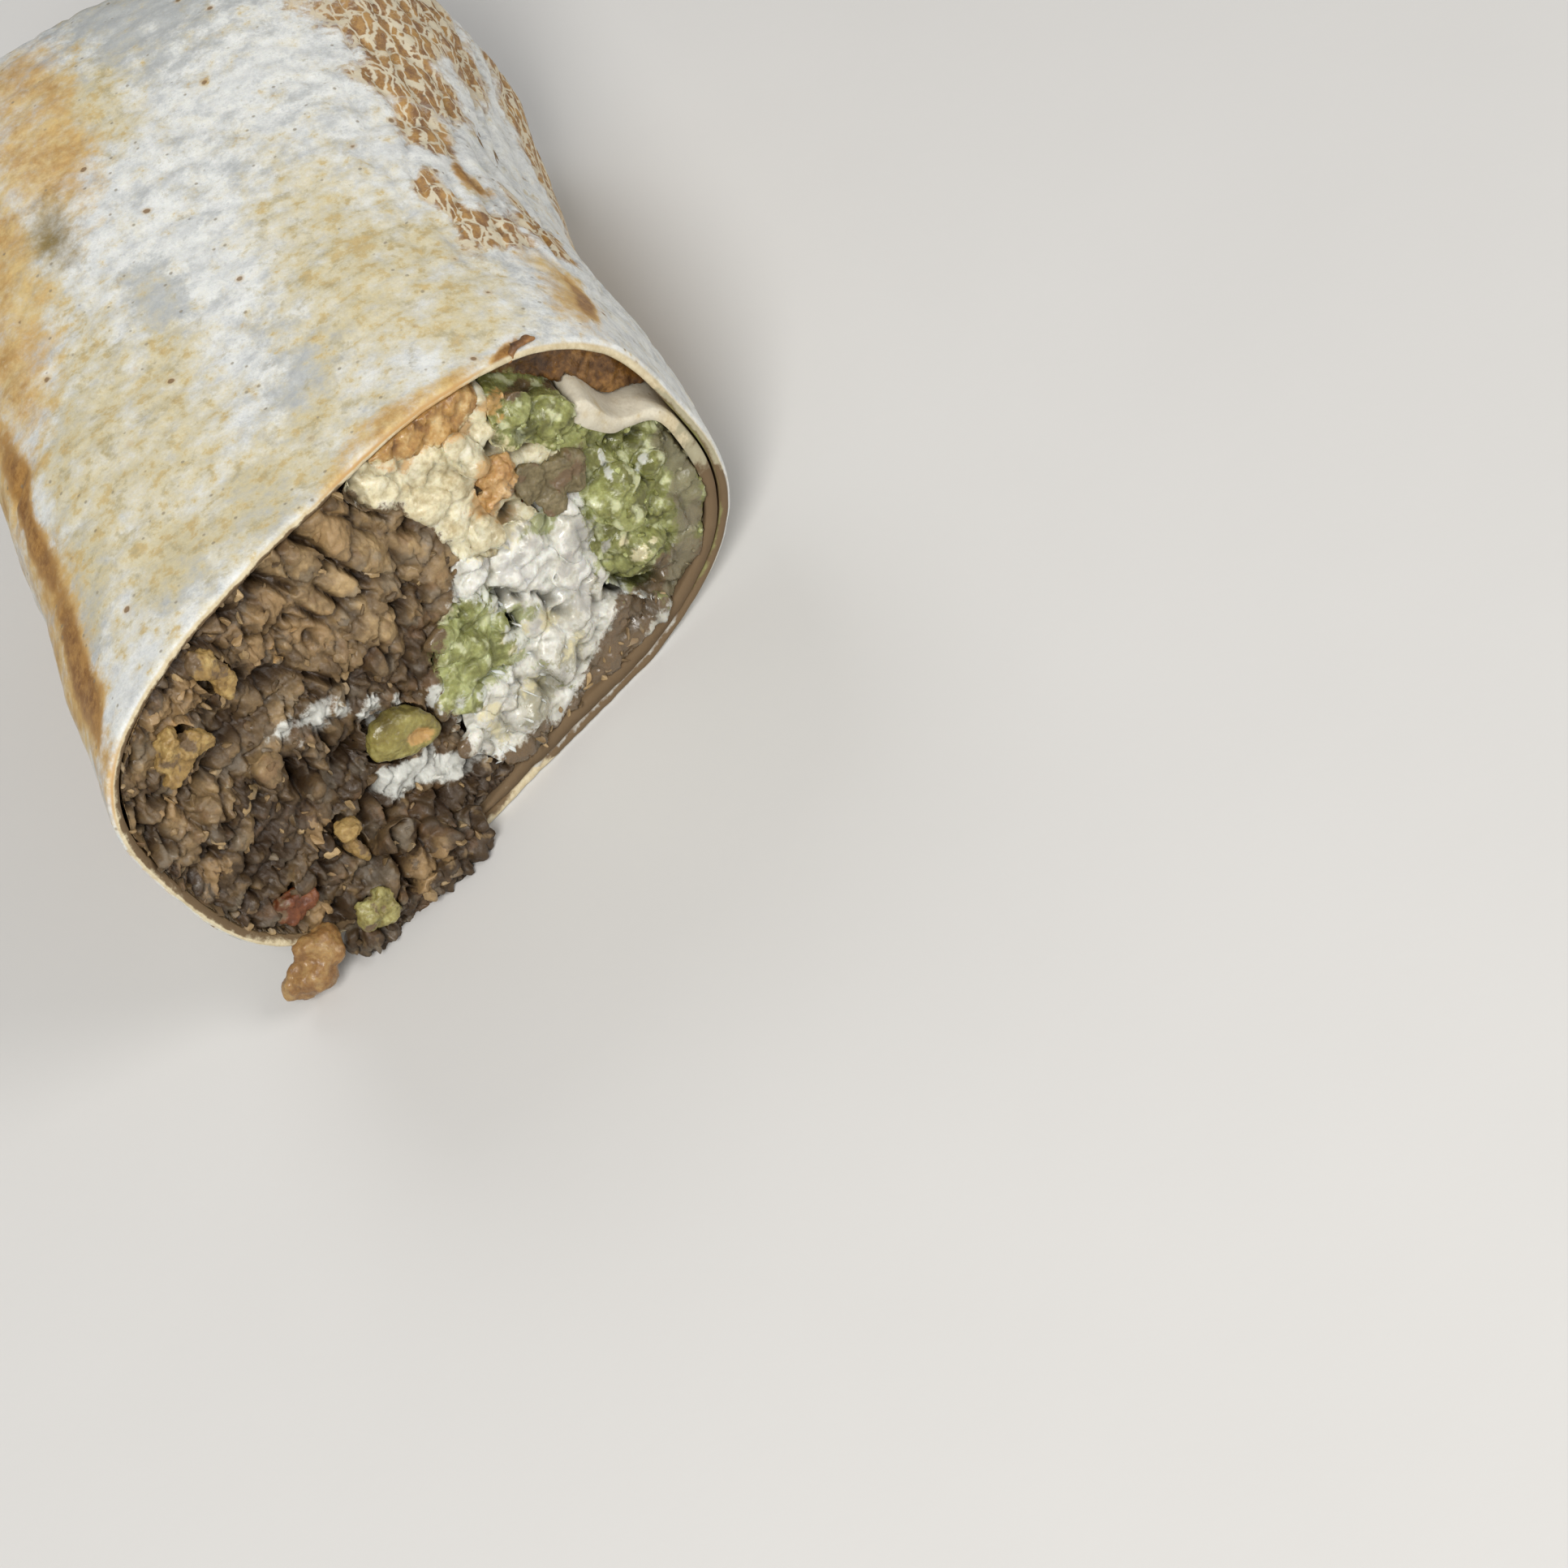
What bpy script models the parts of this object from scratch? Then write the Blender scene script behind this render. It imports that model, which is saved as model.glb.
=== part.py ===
"""Half of a burrito, cut across: a flour tortilla rolled round ground beef, guacamole,
sour cream, cheese, salsa and bean sauce.

The burrito's own frame, used by every function here: x runs across the roll, y along it
from the middle of the cut to the folded end, z up, with its zero at the middle of the cut.
The last step moves everything so that the world's origin is under the middle of the half.
"""
import math

import bmesh
import bpy
from mathutils import Vector, noise

MM = 0.001

# The roll's section: a leaning superellipse, flat where it rests.
HALF_WIDTH = 37.9 * MM
HALF_TOP = 26.9 * MM
HALF_BOTTOM = 25.4 * MM
SQUARENESS = 2.92
LEAN = 0.21
CENTRE_X = 1.8 * MM
CENTRE_Z = -1.8 * MM
TABLE_Z = -26.6 * MM

# Along the roll: a waist on the right side, and a blunt folded end.
LENGTH = 119.7 * MM
SHOULDER_WIDTH = 69.5 * MM
SHOULDER_HEIGHT = 78.0 * MM
END_SQUARENESS_WIDTH = 3.2
END_SQUARENESS_HEIGHT = 2.9
END_X = -8.0 * MM
END_Z = -4.7 * MM
WAIST = 5.0 * MM
WAIST_Y = 65.0 * MM
WAIST_LENGTH = 29.0 * MM
LEFT_TUCK = 0.7 * MM
LUMP = 0.5 * MM
LUMP_LENGTH = 26.0 * MM
LUMP_TURNS = 1.5

# The cut is slanted: it runs away to the right, and leans back towards the top.
CUT_SLANT = math.tan(math.radians(25.0))
CUT_TILT = math.tan(math.radians(5.0))

# The tortilla: one sheet, lapped over itself down the right side and underneath.
SHEET = 1.4 * MM
GAP = 0.3 * MM
LAP_START = math.radians(-4.0)
LAP_END = math.radians(-118.0)
LAP_BLEND = math.radians(14.0)
LAP_GAP = 0.35 * MM
END_FOLD = 3.6 * MM
FLAP_SHEET = 1.2 * MM
FLAP_LENGTH = 96.0 * MM
FLAP_ROOT = (math.radians(-24.0), math.radians(-16.0), math.radians(-9.0))
SLIT_TOP = math.radians(9.0)
SLIT_LENGTH = 92.0 * MM
SLIT_OUT = 0.90       # share of the slit's way round after which it turns out through the skin
SLIT_SINK = 1.9       # how far it turns, in slit depths
# The sheet's inner edge turns away from the lapped wall and hooks down, in (x, z) on the cut.
FLAP = [(37.0, -0.6), (34.4, 1.0), (32.2, 2.0), (30.7, 3.2), (29.7, 5.2), (28.8, 7.4), (28.0, 9.4)]

SEGMENTS = 40
BODY_RINGS = 6
END_RINGS = 7
FACE_RINGS = 8
SLAB_RINGS = 6
SLIT_STEPS = 15
PIECE_DETAIL = 2
OVERRUN = 12.0 * MM   # how far cutters reach past what they cut
IN_FRONT = 20.0 * MM  # how far the fillings' shapes reach in front of the cut
RELIEF = 1.3 * MM
RELIEF_LENGTH = 7.0 * MM
RELIEF_SEED = 3.7
SAUCE_DEPTH = 4.0 * MM
BULGE = 4.5 * MM
BULGE_AT = (-13.0 * MM, -23.0 * MM)
BULGE_SIZE = (9.5 * MM, 7.0 * MM)

# Outlines of the fillings on the cut, as corners of smooth closed loops, in (x, z).
# They reach past the wall, which trims them, and each gives way to those before it.
BEAN_SAUCE = [(18.5, 20.0), (22.4, 16.6), (26.0, 12.4), (27.9, 9.8), (28.8, 7.4), (29.7, 5.2),
              (30.9, 3.1), (32.6, 1.9), (35.0, 0.8), (38.0, -0.8), (46.0, -2.0), (46.0, 8.0),
              (40.0, 20.0), (27.0, 30.0), (18.0, 27.0)]
GUACAMOLE_SIDE = [(19.8, 18.5), (19.2, 12.5), (24.5, 6.8), (25.8, 1.0), (22.6, -4.0), (22.0, -14.5),
                  (27.0, -21.5), (33.0, -27.0), (46.0, -14.0), (46.0, 4.0), (33.0, 12.0), (24.0, 20.0)]
GUACAMOLE_LOW = [(6.0, 1.6), (9.6, -1.8), (11.0, -8.5), (8.2, -12.6), (4.6, -10.4), (1.0, -10.9),
                 (-0.3, -6.8), (2.4, -1.4)]
SALSA = [(5.0, 24.0), (8.6, 20.4), (14.8, 18.0), (20.6, 18.8), (21.0, 32.0), (5.0, 32.0)]
CHEESE = [(2.6, 30.0), (2.8, 21.5), (6.6, 15.5), (8.6, 11.0), (8.8, 4.4), (14.0, 1.5), (28.0, 1.0),
          (28.0, 12.0), (21.0, 21.0), (13.0, 30.0)]
SOUR_CREAM = [(8.0, 5.0), (18.0, 6.5), (30.0, 4.0), (25.0, -3.0), (25.0, -16.0), (31.0, -30.0), (6.5, -34.0),
              (4.2, -24.0), (0.2, -18.6), (0.6, -13.0), (2.0, -6.0), (5.0, 0.5)]

# Pieces in the filling: name, place (x, z), size across, up and deep, turn, colour.
PIECES = [
    ("olive_slice", (-6.2, -7.4), (8.6, 7.4, 5.0), -30.0, (0.36, 0.34, 0.06)),
    ("corn_kernel_1", (-26.4, 13.2), (6.6, 5.4, 6.0), 20.0, (0.55, 0.36, 0.09)),
    ("corn_kernel_2", (-19.4, 17.2), (4.4, 6.0, 5.5), 15.0, (0.50, 0.36, 0.12)),
    ("corn_kernel_3", (-16.8, -12.6), (3.4, 7.2, 5.0), 10.0, (0.46, 0.28, 0.10)),
    ("pepper_piece_green", (-17.4, -22.2), (4.6, 5.6, 6.0), 0.0, (0.33, 0.36, 0.08)),
    ("pepper_piece_red", (-25.0, -13.6), (4.8, 4.0, 5.0), 35.0, (0.30, 0.11, 0.05)),
    ("tomato_piece", (16.1, 9.2), (4.4, 5.6, 5.5), 10.0, (0.58, 0.27, 0.09)),
    ("onion_piece", (21.4, 3.4), (7.4, 5.6, 6.0), -25.0, (0.38, 0.29, 0.23)),
]
DRIP_AT = (-27.3 * MM, -15.8 * MM, -22.6 * MM)
DRIP_SIZE = (6.0 * MM, 5.0 * MM, 7.0 * MM)
DRIP_NECK = 0.35      # how much narrower the drop is at its top
DRIP_BUMPS = 0.16
DRIP_BUMP_TURNS = 3.0

PIECE_SQUARENESS = 0.8
PIECE_BUMPS = 0.10
PIECE_BUMP_TURNS = 1.7
PIECE_SEEDS = 900.0   # turns a piece's place, in metres, into its own pattern of bumps

COLOURS = {
    "tortilla": ((0.72, 0.66, 0.52), 0.70),
    "ground_beef": ((0.17, 0.11, 0.06), 0.55),
    "guacamole_side": ((0.40, 0.43, 0.17), 0.40),
    "guacamole_low": ((0.45, 0.50, 0.20), 0.40),
    "sour_cream": ((0.62, 0.62, 0.56), 0.35),
    "cheese": ((0.74, 0.68, 0.50), 0.45),
    "salsa": ((0.60, 0.38, 0.17), 0.40),
    "bean_sauce": ((0.22, 0.09, 0.04), 0.40),
    "sauce_drip": ((0.50, 0.27, 0.11), 0.40),
}


def clear_scene():
    for obj in list(bpy.data.objects):
        bpy.data.objects.remove(obj, do_unlink=True)


def make_collection(name):
    collection = bpy.data.collections.new(name)
    bpy.context.scene.collection.children.link(collection)
    return collection


def make_material(name, colour, roughness):
    material = bpy.data.materials.new(name)
    material.use_nodes = True
    shader = material.node_tree.nodes["Principled BSDF"]
    shader.inputs["Base Color"].default_value = (*colour, 1.0)
    shader.inputs["Roughness"].default_value = roughness
    shader.inputs["Metallic"].default_value = 0.0
    return material


# ---------------------------------------------------------------- the roll's form

def cut_y(x, z):
    """Where the slanted cut lies along the roll, at a place on the section."""
    return x * CUT_SLANT + z * CUT_TILT


def end_scale(y, shoulder, squareness, length):
    """How much of the section is left at y: 1 up to the shoulder, 0 at the end."""
    share = min(max((y - shoulder) / (length - shoulder), 0.0), 1.0)
    return (1.0 - share ** squareness) ** (1.0 / squareness)


def skin_radius(angle, y):
    """The skin's distance from the section's middle: a lumpy superellipse, flat underneath."""
    rise = math.sin(angle)
    half_height = HALF_TOP if rise > 0.0 else HALF_BOTTOM
    across = abs(math.cos(angle)) / HALF_WIDTH
    radius = (across ** SQUARENESS + (abs(rise) / half_height) ** SQUARENESS) ** (-1.0 / SQUARENESS)
    radius += LUMP * noise.noise(Vector((math.cos(angle), y / LUMP_LENGTH, rise)) * LUMP_TURNS)
    if rise < 0.0:
        radius = min(radius, (CENTRE_Z - TABLE_Z) / -rise)
    return radius


def side_shift(x, y):
    """The waist pressed into the right side, and the left side's slight tuck."""
    edge = (abs(x) / HALF_WIDTH) ** SQUARENESS
    if x < 0.0:
        return LEFT_TUCK * edge
    return -WAIST * edge * math.exp(-((y - WAIST_Y) / WAIST_LENGTH) ** 2)


def section(angle, y, inset, length):
    """A point of the roll's section at y, inset towards its middle, as (x, z)."""
    reach = max(skin_radius(angle, y) - inset, 0.0)
    across = reach * math.cos(angle)
    up = reach * math.sin(angle)
    x = across - LEAN * up + CENTRE_X + side_shift(across, y)
    z = up + CENTRE_Z
    narrowing = end_scale(y, SHOULDER_WIDTH, END_SQUARENESS_WIDTH, length)
    lowering = end_scale(y, SHOULDER_HEIGHT, END_SQUARENESS_HEIGHT, length)
    x = END_X + (x - END_X) * narrowing
    z = END_Z + (z - END_Z) * lowering
    return x, z


def skin_point(angle, y, inset, length, front=0.0):
    """A point on the roll's skin. Short of the shoulder, y is stretched to start at the cut."""
    x, z = section(angle, y, inset, length)
    if y < SHOULDER_WIDTH:
        start = cut_y(x, z) - front
        stretched = start + y / SHOULDER_WIDTH * (SHOULDER_WIDTH - start)
        x, z = section(angle, stretched, inset, length)
        if y == 0.0:
            stretched = cut_y(x, z) - front
        return Vector((x, stretched, z))
    return Vector((x, y, z))


def stations(length):
    """Places of the rings along the roll, closer together round the folded end."""
    straight = [SHOULDER_WIDTH * i / BODY_RINGS for i in range(BODY_RINGS)]
    turn = [math.sin(0.5 * math.pi * i / END_RINGS) for i in range(END_RINGS)]
    return straight + [SHOULDER_WIDTH + (length - SHOULDER_WIDTH) * t for t in turn]


def lap_share(angle):
    """1 where the tortilla lies double, 0 where it is single, blended between."""
    turned = math.atan2(math.sin(angle), math.cos(angle))
    rise = (LAP_START - turned) / LAP_BLEND + 0.5
    fall = (turned - LAP_END) / LAP_BLEND + 0.5
    share = min(max(min(rise, fall), 0.0), 1.0)
    return share * share * (3.0 - 2.0 * share)


def wall(angle):
    return SHEET + (SHEET + LAP_GAP) * lap_share(angle)


def skin_rings(inset_of, length, front=0.0):
    angles = [2.0 * math.pi * i / SEGMENTS for i in range(SEGMENTS)]
    return [[skin_point(a, y, inset_of(a), length, front) for a in angles] for y in stations(length)]


def end_pole(length):
    return Vector((END_X, length, END_Z))


# ---------------------------------------------------------------- mesh making

def strip(bm, ring_a, ring_b):
    count = len(ring_a)
    for i in range(count):
        j = (i + 1) % count
        bm.faces.new((ring_a[i], ring_a[j], ring_b[j], ring_b[i]))


def fan(bm, ring, point):
    tip = bm.verts.new(point)
    for i in range(len(ring)):
        bm.faces.new((ring[i], ring[(i + 1) % len(ring)], tip))


def add_rings(bm, rings):
    verts = [[bm.verts.new(p) for p in ring] for ring in rings]
    for ring_a, ring_b in zip(verts, verts[1:]):
        strip(bm, ring_a, ring_b)
    return verts


def finish_mesh(bm, name, collection, smooth_angle=40.0):
    bm.normal_update()
    bmesh.ops.triangulate(bm, faces=bm.faces)
    bmesh.ops.recalc_face_normals(bm, faces=bm.faces)
    mesh = bpy.data.meshes.new(name)
    bm.to_mesh(mesh)
    bm.free()
    mesh.shade_smooth()
    mesh.set_sharp_from_angle(angle=math.radians(smooth_angle))
    obj = bpy.data.objects.new(name, mesh)
    collection.objects.link(obj)
    return obj


def smooth_loop(corners, rounds=1):
    """A closed loop, in metres, with its corners cut off and cut off again."""
    loop = [Vector((x * MM, z * MM)) for x, z in corners]
    for _ in range(rounds):
        cut_loop = []
        for i, point in enumerate(loop):
            following = loop[(i + 1) % len(loop)]
            cut_loop += [point.lerp(following, 0.25), point.lerp(following, 0.75)]
        loop = cut_loop
    return loop


def grown(loop, distance):
    """The closed loop moved outwards by a distance."""
    count = len(loop)
    pairs = list(zip(loop, loop[1:] + loop[:1]))
    area = sum(a.x * b.y - b.x * a.y for a, b in pairs)
    side = 1.0 if area > 0.0 else -1.0
    out = []
    for i, point in enumerate(loop):
        along = loop[(i + 1) % count] - loop[i - 1]
        out.append(point + Vector((along.y, -along.x)).normalized() * distance * side)
    return out


def prism(name, loop, front, collection):
    """The loop run along the roll, from front in front of the cut to past the end."""
    bm = bmesh.new()
    near = [Vector((p.x, cut_y(p.x, p.y) - front, p.y)) for p in loop]
    far = [Vector((p.x, LENGTH + OVERRUN, p.y)) for p in loop]
    ring_near, ring_far = add_rings(bm, [near, far])
    bm.faces.new(ring_near)
    bm.faces.new(ring_far)
    return finish_mesh(bm, name, collection)


def cut(obj, cutter, operation="DIFFERENCE"):
    modifier = obj.modifiers.new(f"{operation.lower()}_{cutter.name}", "BOOLEAN")
    modifier.operation = operation
    modifier.solver = "EXACT"
    modifier.object = cutter


def hide_cutter(obj):
    obj.hide_render = True
    obj.display_type = "WIRE"


# ---------------------------------------------------------------- the tortilla

def make_shell(collection):
    """The tortilla without its free inner edge: skin, inner wall and the rim at the cut."""
    bm = bmesh.new()
    outer = add_rings(bm, skin_rings(lambda a: 0.0, LENGTH))
    fan(bm, outer[-1], end_pole(LENGTH))
    inner = add_rings(bm, skin_rings(wall, LENGTH - END_FOLD))
    fan(bm, inner[-1], end_pole(LENGTH - END_FOLD))
    strip(bm, outer[0], inner[0])
    return finish_mesh(bm, "tortilla", collection)


def flap_path(longer=0.0):
    """Middle line of the sheet's inner edge on the cut, from the lapped wall to its free tip."""
    depth = SHEET * 1.5 + LAP_GAP
    root = [Vector(section(angle, 0.0, depth, LENGTH)) for angle in FLAP_ROOT]
    free = [Vector((x * MM, z * MM)) for x, z in FLAP]
    free[-1] += (free[-1] - free[-2]).normalized() * longer
    return root + free


def slit_path():
    """The lap's parting line, from above the inner edge down the wall and out underneath."""
    depth = SHEET + 0.5 * LAP_GAP
    points = []
    for i in range(SLIT_STEPS + 1):
        share = i / SLIT_STEPS
        angle = SLIT_TOP + (LAP_END - SLIT_TOP) * share
        sinking = max(0.0, share - SLIT_OUT) / (1.0 - SLIT_OUT)
        points.append(Vector(section(angle, 0.0, depth * (1.0 - SLIT_SINK * sinking), LENGTH)))
    return points


def place_in_section(point):
    """The angle and inset of a place on the cut, which follow the roll's form along it."""
    up = point.y - CENTRE_Z
    across = point.x - CENTRE_X + LEAN * up
    angle = math.atan2(up, across)
    return angle, skin_radius(angle, 0.0) - math.hypot(across, up)


def slab(name, path, thickness, front, back, collection):
    """A sheet of even thickness that follows the path across and runs along the roll."""
    left, right = [], []
    for i, point in enumerate(path):
        along = path[min(i + 1, len(path) - 1)] - path[max(i - 1, 0)]
        side = Vector((along.y, -along.x)).normalized() * thickness * 0.5
        left.append(point + side)
        right.append(point - side)
    places = [place_in_section(p) for p in left + right[::-1]]
    bm = bmesh.new()
    rings = []
    for i in range(SLAB_RINGS + 1):
        y = back * i / SLAB_RINGS
        rings.append([skin_point(angle, y, inset, LENGTH, front) for angle, inset in places])
    verts = add_rings(bm, rings)
    bm.faces.new(verts[0])
    bm.faces.new(verts[-1])
    return finish_mesh(bm, name, collection)


# ---------------------------------------------------------------- the fillings

def relief(x, z):
    """How far the fillings stand out of the cut: crumbly, with a bulge over the lower rim."""
    crumb = noise.noise(Vector((x / RELIEF_LENGTH, RELIEF_SEED, z / RELIEF_LENGTH))) * RELIEF
    from_bulge = math.hypot((x - BULGE_AT[0]) / BULGE_SIZE[0], (z - BULGE_AT[1]) / BULGE_SIZE[1])
    return crumb + BULGE * max(0.0, 1.0 - from_bulge ** 2)


def make_mass(name, inset_of, length, standing, collection):
    """A solid that fills the roll out to an inset, with its face on the cut standing out."""
    bm = bmesh.new()
    rings = skin_rings(inset_of, length)
    middle = Vector((CENTRE_X, 0.0, CENTRE_Z))
    face = []
    for i in range(1, FACE_RINGS):
        ring = []
        for edge in rings[0]:
            p = middle.lerp(edge, i / FACE_RINGS)
            ring.append(Vector((p.x, cut_y(p.x, p.z) - standing(p.x, p.z), p.z)))
        face.append(ring)
    middle.y = cut_y(middle.x, middle.z) - standing(middle.x, middle.z)
    verts = add_rings(bm, face + rings)
    fan(bm, verts[-1], end_pole(length))
    fan(bm, verts[0], middle)
    return finish_mesh(bm, name, collection)


def make_filling_mass(name, collection):
    """Everything inside the tortilla as one body, before it is divided."""
    return make_mass(name, lambda a: wall(a) + GAP, LENGTH - END_FOLD - GAP, relief, collection)


def make_piece(name, place, size, turn, extra, collection):
    """A rounded chunk on the cut's surface, facing the way the cut faces."""
    bm = bmesh.new()
    bmesh.ops.create_icosphere(bm, subdivisions=PIECE_DETAIL, radius=1.0)
    x, z = place[0] * MM, place[1] * MM
    outward = Vector((CUT_SLANT, -1.0, CUT_TILT)).normalized()
    angle = math.radians(turn)
    across = Vector((math.cos(angle), math.cos(angle) * CUT_SLANT, math.sin(angle))).normalized()
    up = across.cross(outward)
    centre = Vector((x, cut_y(x, z) - relief(x, z), z))
    for vert in bm.verts:
        seed = Vector((x, 0.0, z)) * PIECE_SEEDS
        bumps = 1.0 + PIECE_BUMPS * noise.noise(vert.co * PIECE_BUMP_TURNS + seed)
        boxed = Vector([math.copysign(abs(c) ** PIECE_SQUARENESS, c) for c in vert.co]) * bumps
        vert.co = (centre + across * boxed.x * (0.5 * size[0] * MM + extra)
                   + up * boxed.z * (0.5 * size[1] * MM + extra)
                   + outward * boxed.y * (0.5 * size[2] * MM + extra))
    return finish_mesh(bm, name, collection, smooth_angle=60.0)


def make_drip(collection):
    """A drop of sauce and fat that ran out under the lower left of the rim."""
    bm = bmesh.new()
    bmesh.ops.create_icosphere(bm, subdivisions=PIECE_DETAIL, radius=0.5)
    for vert in bm.verts:
        narrowing = 1.0 - DRIP_NECK * max(0.0, vert.co.z)
        bumps = 1.0 + DRIP_BUMPS * noise.noise(vert.co * DRIP_BUMP_TURNS)
        vert.co = Vector((DRIP_AT[0] + vert.co.x * DRIP_SIZE[0] * narrowing * bumps,
                          DRIP_AT[1] + vert.co.y * DRIP_SIZE[1] * narrowing * bumps,
                          DRIP_AT[2] + vert.co.z * DRIP_SIZE[2]))
    return finish_mesh(bm, "sauce_drip", collection, smooth_angle=60.0)


def main():
    clear_scene()
    parts = make_collection("burrito")
    cutters = make_collection("cutters")

    tortilla = make_shell(parts)
    flap = slab("flap_sheet", flap_path(), FLAP_SHEET, 0.0, FLAP_LENGTH, cutters)
    slit = slab("lap_slit", slit_path(), LAP_GAP, OVERRUN, SLIT_LENGTH, cutters)
    cut(tortilla, slit)
    cut(tortilla, flap, "UNION")
    flap_room = slab("flap_room", flap_path(longer=2.0 * GAP), FLAP_SHEET + 3.0 * GAP, OVERRUN,
                     FLAP_LENGTH + 3.0 * GAP, cutters)

    fillings = [("bean_sauce", BEAN_SAUCE, -SAUCE_DEPTH), ("guacamole_side", GUACAMOLE_SIDE, IN_FRONT),
                ("guacamole_low", GUACAMOLE_LOW, IN_FRONT), ("salsa", SALSA, IN_FRONT),
                ("cheese", CHEESE, IN_FRONT), ("sour_cream", SOUR_CREAM, IN_FRONT)]
    rooms = []
    made = []
    for name, corners, front in fillings:
        loop = smooth_loop(corners)
        body = make_filling_mass(name, parts)
        cut(body, prism(f"{name}_shape", loop, front, cutters), "INTERSECT")
        for room in rooms + [flap_room]:
            cut(body, room)
        rooms.append(prism(f"{name}_room", grown(loop, GAP), IN_FRONT, cutters))
        made.append(body)
    beef = make_filling_mass("ground_beef", parts)
    for room in rooms + [flap_room]:
        cut(beef, room)
    made.append(beef)

    for name, place, size, turn, colour in PIECES:
        piece = make_piece(name, place, size, turn, 0.0, parts)
        room = make_piece(f"{name}_room", place, size, turn, GAP, cutters)
        for body in made:
            cut(body, room)
        piece.data.materials.append(make_material(name, colour, 0.35))
    drip = make_drip(parts)
    cut(drip, make_mass("drip_room", lambda a: -GAP, LENGTH + GAP, lambda x, z: 0.0, cutters))

    for cutter in cutters.objects:
        hide_cutter(cutter)
    for name, (colour, roughness) in COLOURS.items():
        bpy.data.objects[name].data.materials.append(make_material(name, colour, roughness))

    set_origin(parts, cutters)


def set_origin(parts, cutters):
    """Moves everything so that the origin is under the middle of the half, on the table."""
    depsgraph = bpy.context.evaluated_depsgraph_get()
    corners = []
    for obj in parts.objects:
        corners += [Vector(c) for c in obj.evaluated_get(depsgraph).bound_box]
    low = [min(c[k] for c in corners) for k in range(3)]
    high = [max(c[k] for c in corners) for k in range(3)]
    frame = bpy.data.objects.new("burrito_frame", None)
    parts.objects.link(frame)
    frame.location = (-0.5 * (low[0] + high[0]), -0.5 * (low[1] + high[1]), -low[2])
    for obj in list(parts.objects) + list(cutters.objects):
        if obj is not frame:
            obj.parent = frame


main()
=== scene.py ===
import functools
import math
import random

import bmesh
import bpy
import numpy as np
from mathutils import Matrix, Vector, noise
from mathutils.bvhtree import BVHTree
from mathutils.kdtree import KDTree


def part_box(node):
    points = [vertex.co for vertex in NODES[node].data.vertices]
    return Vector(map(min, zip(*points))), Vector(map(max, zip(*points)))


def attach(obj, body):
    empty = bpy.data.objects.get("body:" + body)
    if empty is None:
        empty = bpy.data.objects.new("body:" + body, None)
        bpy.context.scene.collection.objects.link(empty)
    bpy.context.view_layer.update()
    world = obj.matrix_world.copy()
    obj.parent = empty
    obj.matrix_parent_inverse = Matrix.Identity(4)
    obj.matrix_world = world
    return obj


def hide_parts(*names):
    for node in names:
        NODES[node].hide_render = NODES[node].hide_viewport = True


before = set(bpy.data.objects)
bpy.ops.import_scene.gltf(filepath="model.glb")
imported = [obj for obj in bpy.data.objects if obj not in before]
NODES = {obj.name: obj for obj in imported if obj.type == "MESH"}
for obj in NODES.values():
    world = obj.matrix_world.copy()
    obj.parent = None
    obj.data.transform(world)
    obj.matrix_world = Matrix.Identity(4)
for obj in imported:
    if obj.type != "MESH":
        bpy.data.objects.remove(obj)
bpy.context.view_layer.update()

MM = 0.001
FULL_TURN = 2.0 * math.pi
FLOOR_GAP = 0.01 * MM
TINY = 1e-12

# ---------------------------------------------------------------- the roll's own sizes
# From the middle of the cut, x runs across the roll, y along it and z up.
HALF_WIDTH = 37.9 * MM
HALF_TOP = 26.9 * MM
HALF_BOTTOM = 25.4 * MM
SQUARENESS = 2.92
LEAN = 0.21
CENTRE_X = 1.8 * MM
CENTRE_Z = -1.8 * MM
TABLE_Z = -26.6 * MM
LENGTH = 119.7 * MM
SHOULDER_WIDTH = 69.5 * MM
SHOULDER_HEIGHT = 78.0 * MM
END_SQUARENESS_WIDTH = 3.2
END_SQUARENESS_HEIGHT = 2.9
END_X = -8.0 * MM
END_Z = -4.7 * MM
WAIST = 5.0 * MM
WAIST_Y = 65.0 * MM
WAIST_LENGTH = 29.0 * MM
LEFT_TUCK = 0.7 * MM
LUMP = 0.5 * MM
LUMP_LENGTH = 26.0 * MM
CUT_SLANT = math.tan(math.radians(25.0))
CUT_TILT = math.tan(math.radians(5.0))
SHEET = 1.4 * MM
LAP_GAP = 0.35 * MM
END_FOLD = 3.6 * MM
# The flap's path on the cut, x and z in mm, from the wall to its free edge.
FLAP = [(37.0, -0.6), (34.4, 1.0), (32.2, 2.0), (30.7, 3.2), (29.7, 5.2), (28.8, 7.4), (28.0, 9.4)]
FLAP_SHEET = 1.2 * MM

tip = max((v.co for v in NODES["tortilla"].data.vertices), key=lambda p: p.y)
ORIGIN = tip - Vector((END_X, LENGTH, END_Z))
OUTWARD = Vector((CUT_SLANT, -1.0, CUT_TILT)).normalized()
ACROSS = Vector((1.0, CUT_SLANT, 0.0)).normalized()
UPWARD = ACROSS.cross(OUTWARD)
if UPWARD.z < 0.0:
    UPWARD = -UPWARD


# ---------------------------------------------------------------- shader maths

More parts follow.
